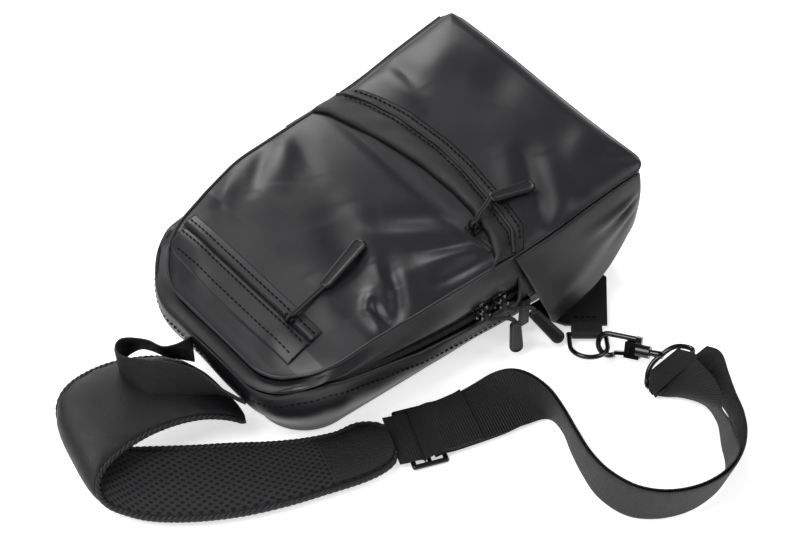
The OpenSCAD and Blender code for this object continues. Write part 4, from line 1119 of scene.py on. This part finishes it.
eye = rounded([EYE_BAR - EYE_B * 21.5, EYE_BAR + EYE_B * 21.5, EYE_TOP + EYE_B * 11, EYE_TOP - EYE_B * 11], 8.0)
barrel = [EYE_TOP + HOOK_D * k for k in (-1.2, 2.0, 5.6, 6.2, 7.0, 7.6, 8.2, 8.8, 12.3)]
eye_wire = joined("hook_eye_wire", [tube_data(eye, 1.7, 12),
        tube_data(barrel, [2.5, 2.4, 2.2, 2.2, 2.2, 2.2, 2.2, 2.2, 2.0], 16)], METAL, nodes=["hook_eye"],
        slot="black_metal")
loop = [(-6.5, -2.4), (-2.5, -2.9), (2, -2.6), (6, -1.8), (9.3, -0.8), (9.8, 0.3), (8.6, 1.3), (5, 2.1),
        (1, 2.8), (-3, 2.6), (-6.5, 1.5)]
fold = [(tuple(EYE_BAR + EYE_A * a + EYE_N * h), tuple(EYE_B)) for a, h in loop]
webbing("eye_fold_web", fold, [38, 38, 34, 30, 25, 24, 26, 30, 34, 38, 38], -0.6, 0.6, WEB, 90, slot="webbing")

# ---------------------------------------------------------------- stage, light, camera
bpy.ops.mesh.primitive_plane_add(size=6.0, location=(0, 0, -0.0004))
floor = bpy.context.object
floor.name = "pale_floor"
fm = Nodes("floor_white")
floor.data.materials.append(fm.set(color=(0.9, 0.9, 0.9), rough=0.8, spec=0.1))
fm.bsdf.inputs["Emission Color"].default_value = (1, 1, 1, 1)
fm.bsdf.inputs["Emission Strength"].default_value = 0.56

world = bpy.context.scene.world or bpy.data.worlds.new("studio")
bpy.context.scene.world = world
world.use_nodes = True
world.node_tree.nodes["Background"].inputs["Color"].default_value = (1, 1, 1, 1)
world.node_tree.nodes["Background"].inputs["Strength"].default_value = 0.26


def area(name, loc, target, size, power, size_y=None):
    d = bpy.data.lights.new(name, "AREA")
    d.energy = power
    d.size = size
    if size_y:
        d.shape = "RECTANGLE"
        d.size_y = size_y
    o = bpy.data.objects.new(name, d)
    bpy.context.scene.collection.objects.link(o)
    o.location = loc
    o.rotation_mode = "QUATERNION"
    o.rotation_quaternion = (Vector(target) - Vector(loc)).to_track_quat("-Z", "Y")
    return o


area("rear_box", (0.35, 1.35, 1.0), (0, 0, 0.05), 1.2, 17, 0.65)
area("top_box", (-0.9, 0.25, 1.5), (0, 0, 0.02), 1.0, 20)
area("left_box", (-1.3, -0.75, 0.55), (0, 0, 0.03), 0.8, 6)
area("right_fill", (1.1, -0.9, 1.2), (0, 0, 0.03), 0.9, 9)
bpy.context.scene.view_settings.view_transform = "Standard"

cd = bpy.data.cameras.new("photo_view")
cam = bpy.data.objects.new("photo_view", cd)
bpy.context.scene.collection.objects.link(cam)
back = Vector((-0.4346, -0.5088, 0.7431)).normalized()
cam.location = Vector((-0.008, -0.022, 0.030)) + back * 1.15
cam.rotation_mode = "QUATERNION"
cam.rotation_quaternion = (-back).to_track_quat("-Z", "Y")
cd.lens = 79.9
cd.sensor_width = 36
cd.clip_start = 0.01
cd.clip_end = 20
bpy.context.scene.camera = cam
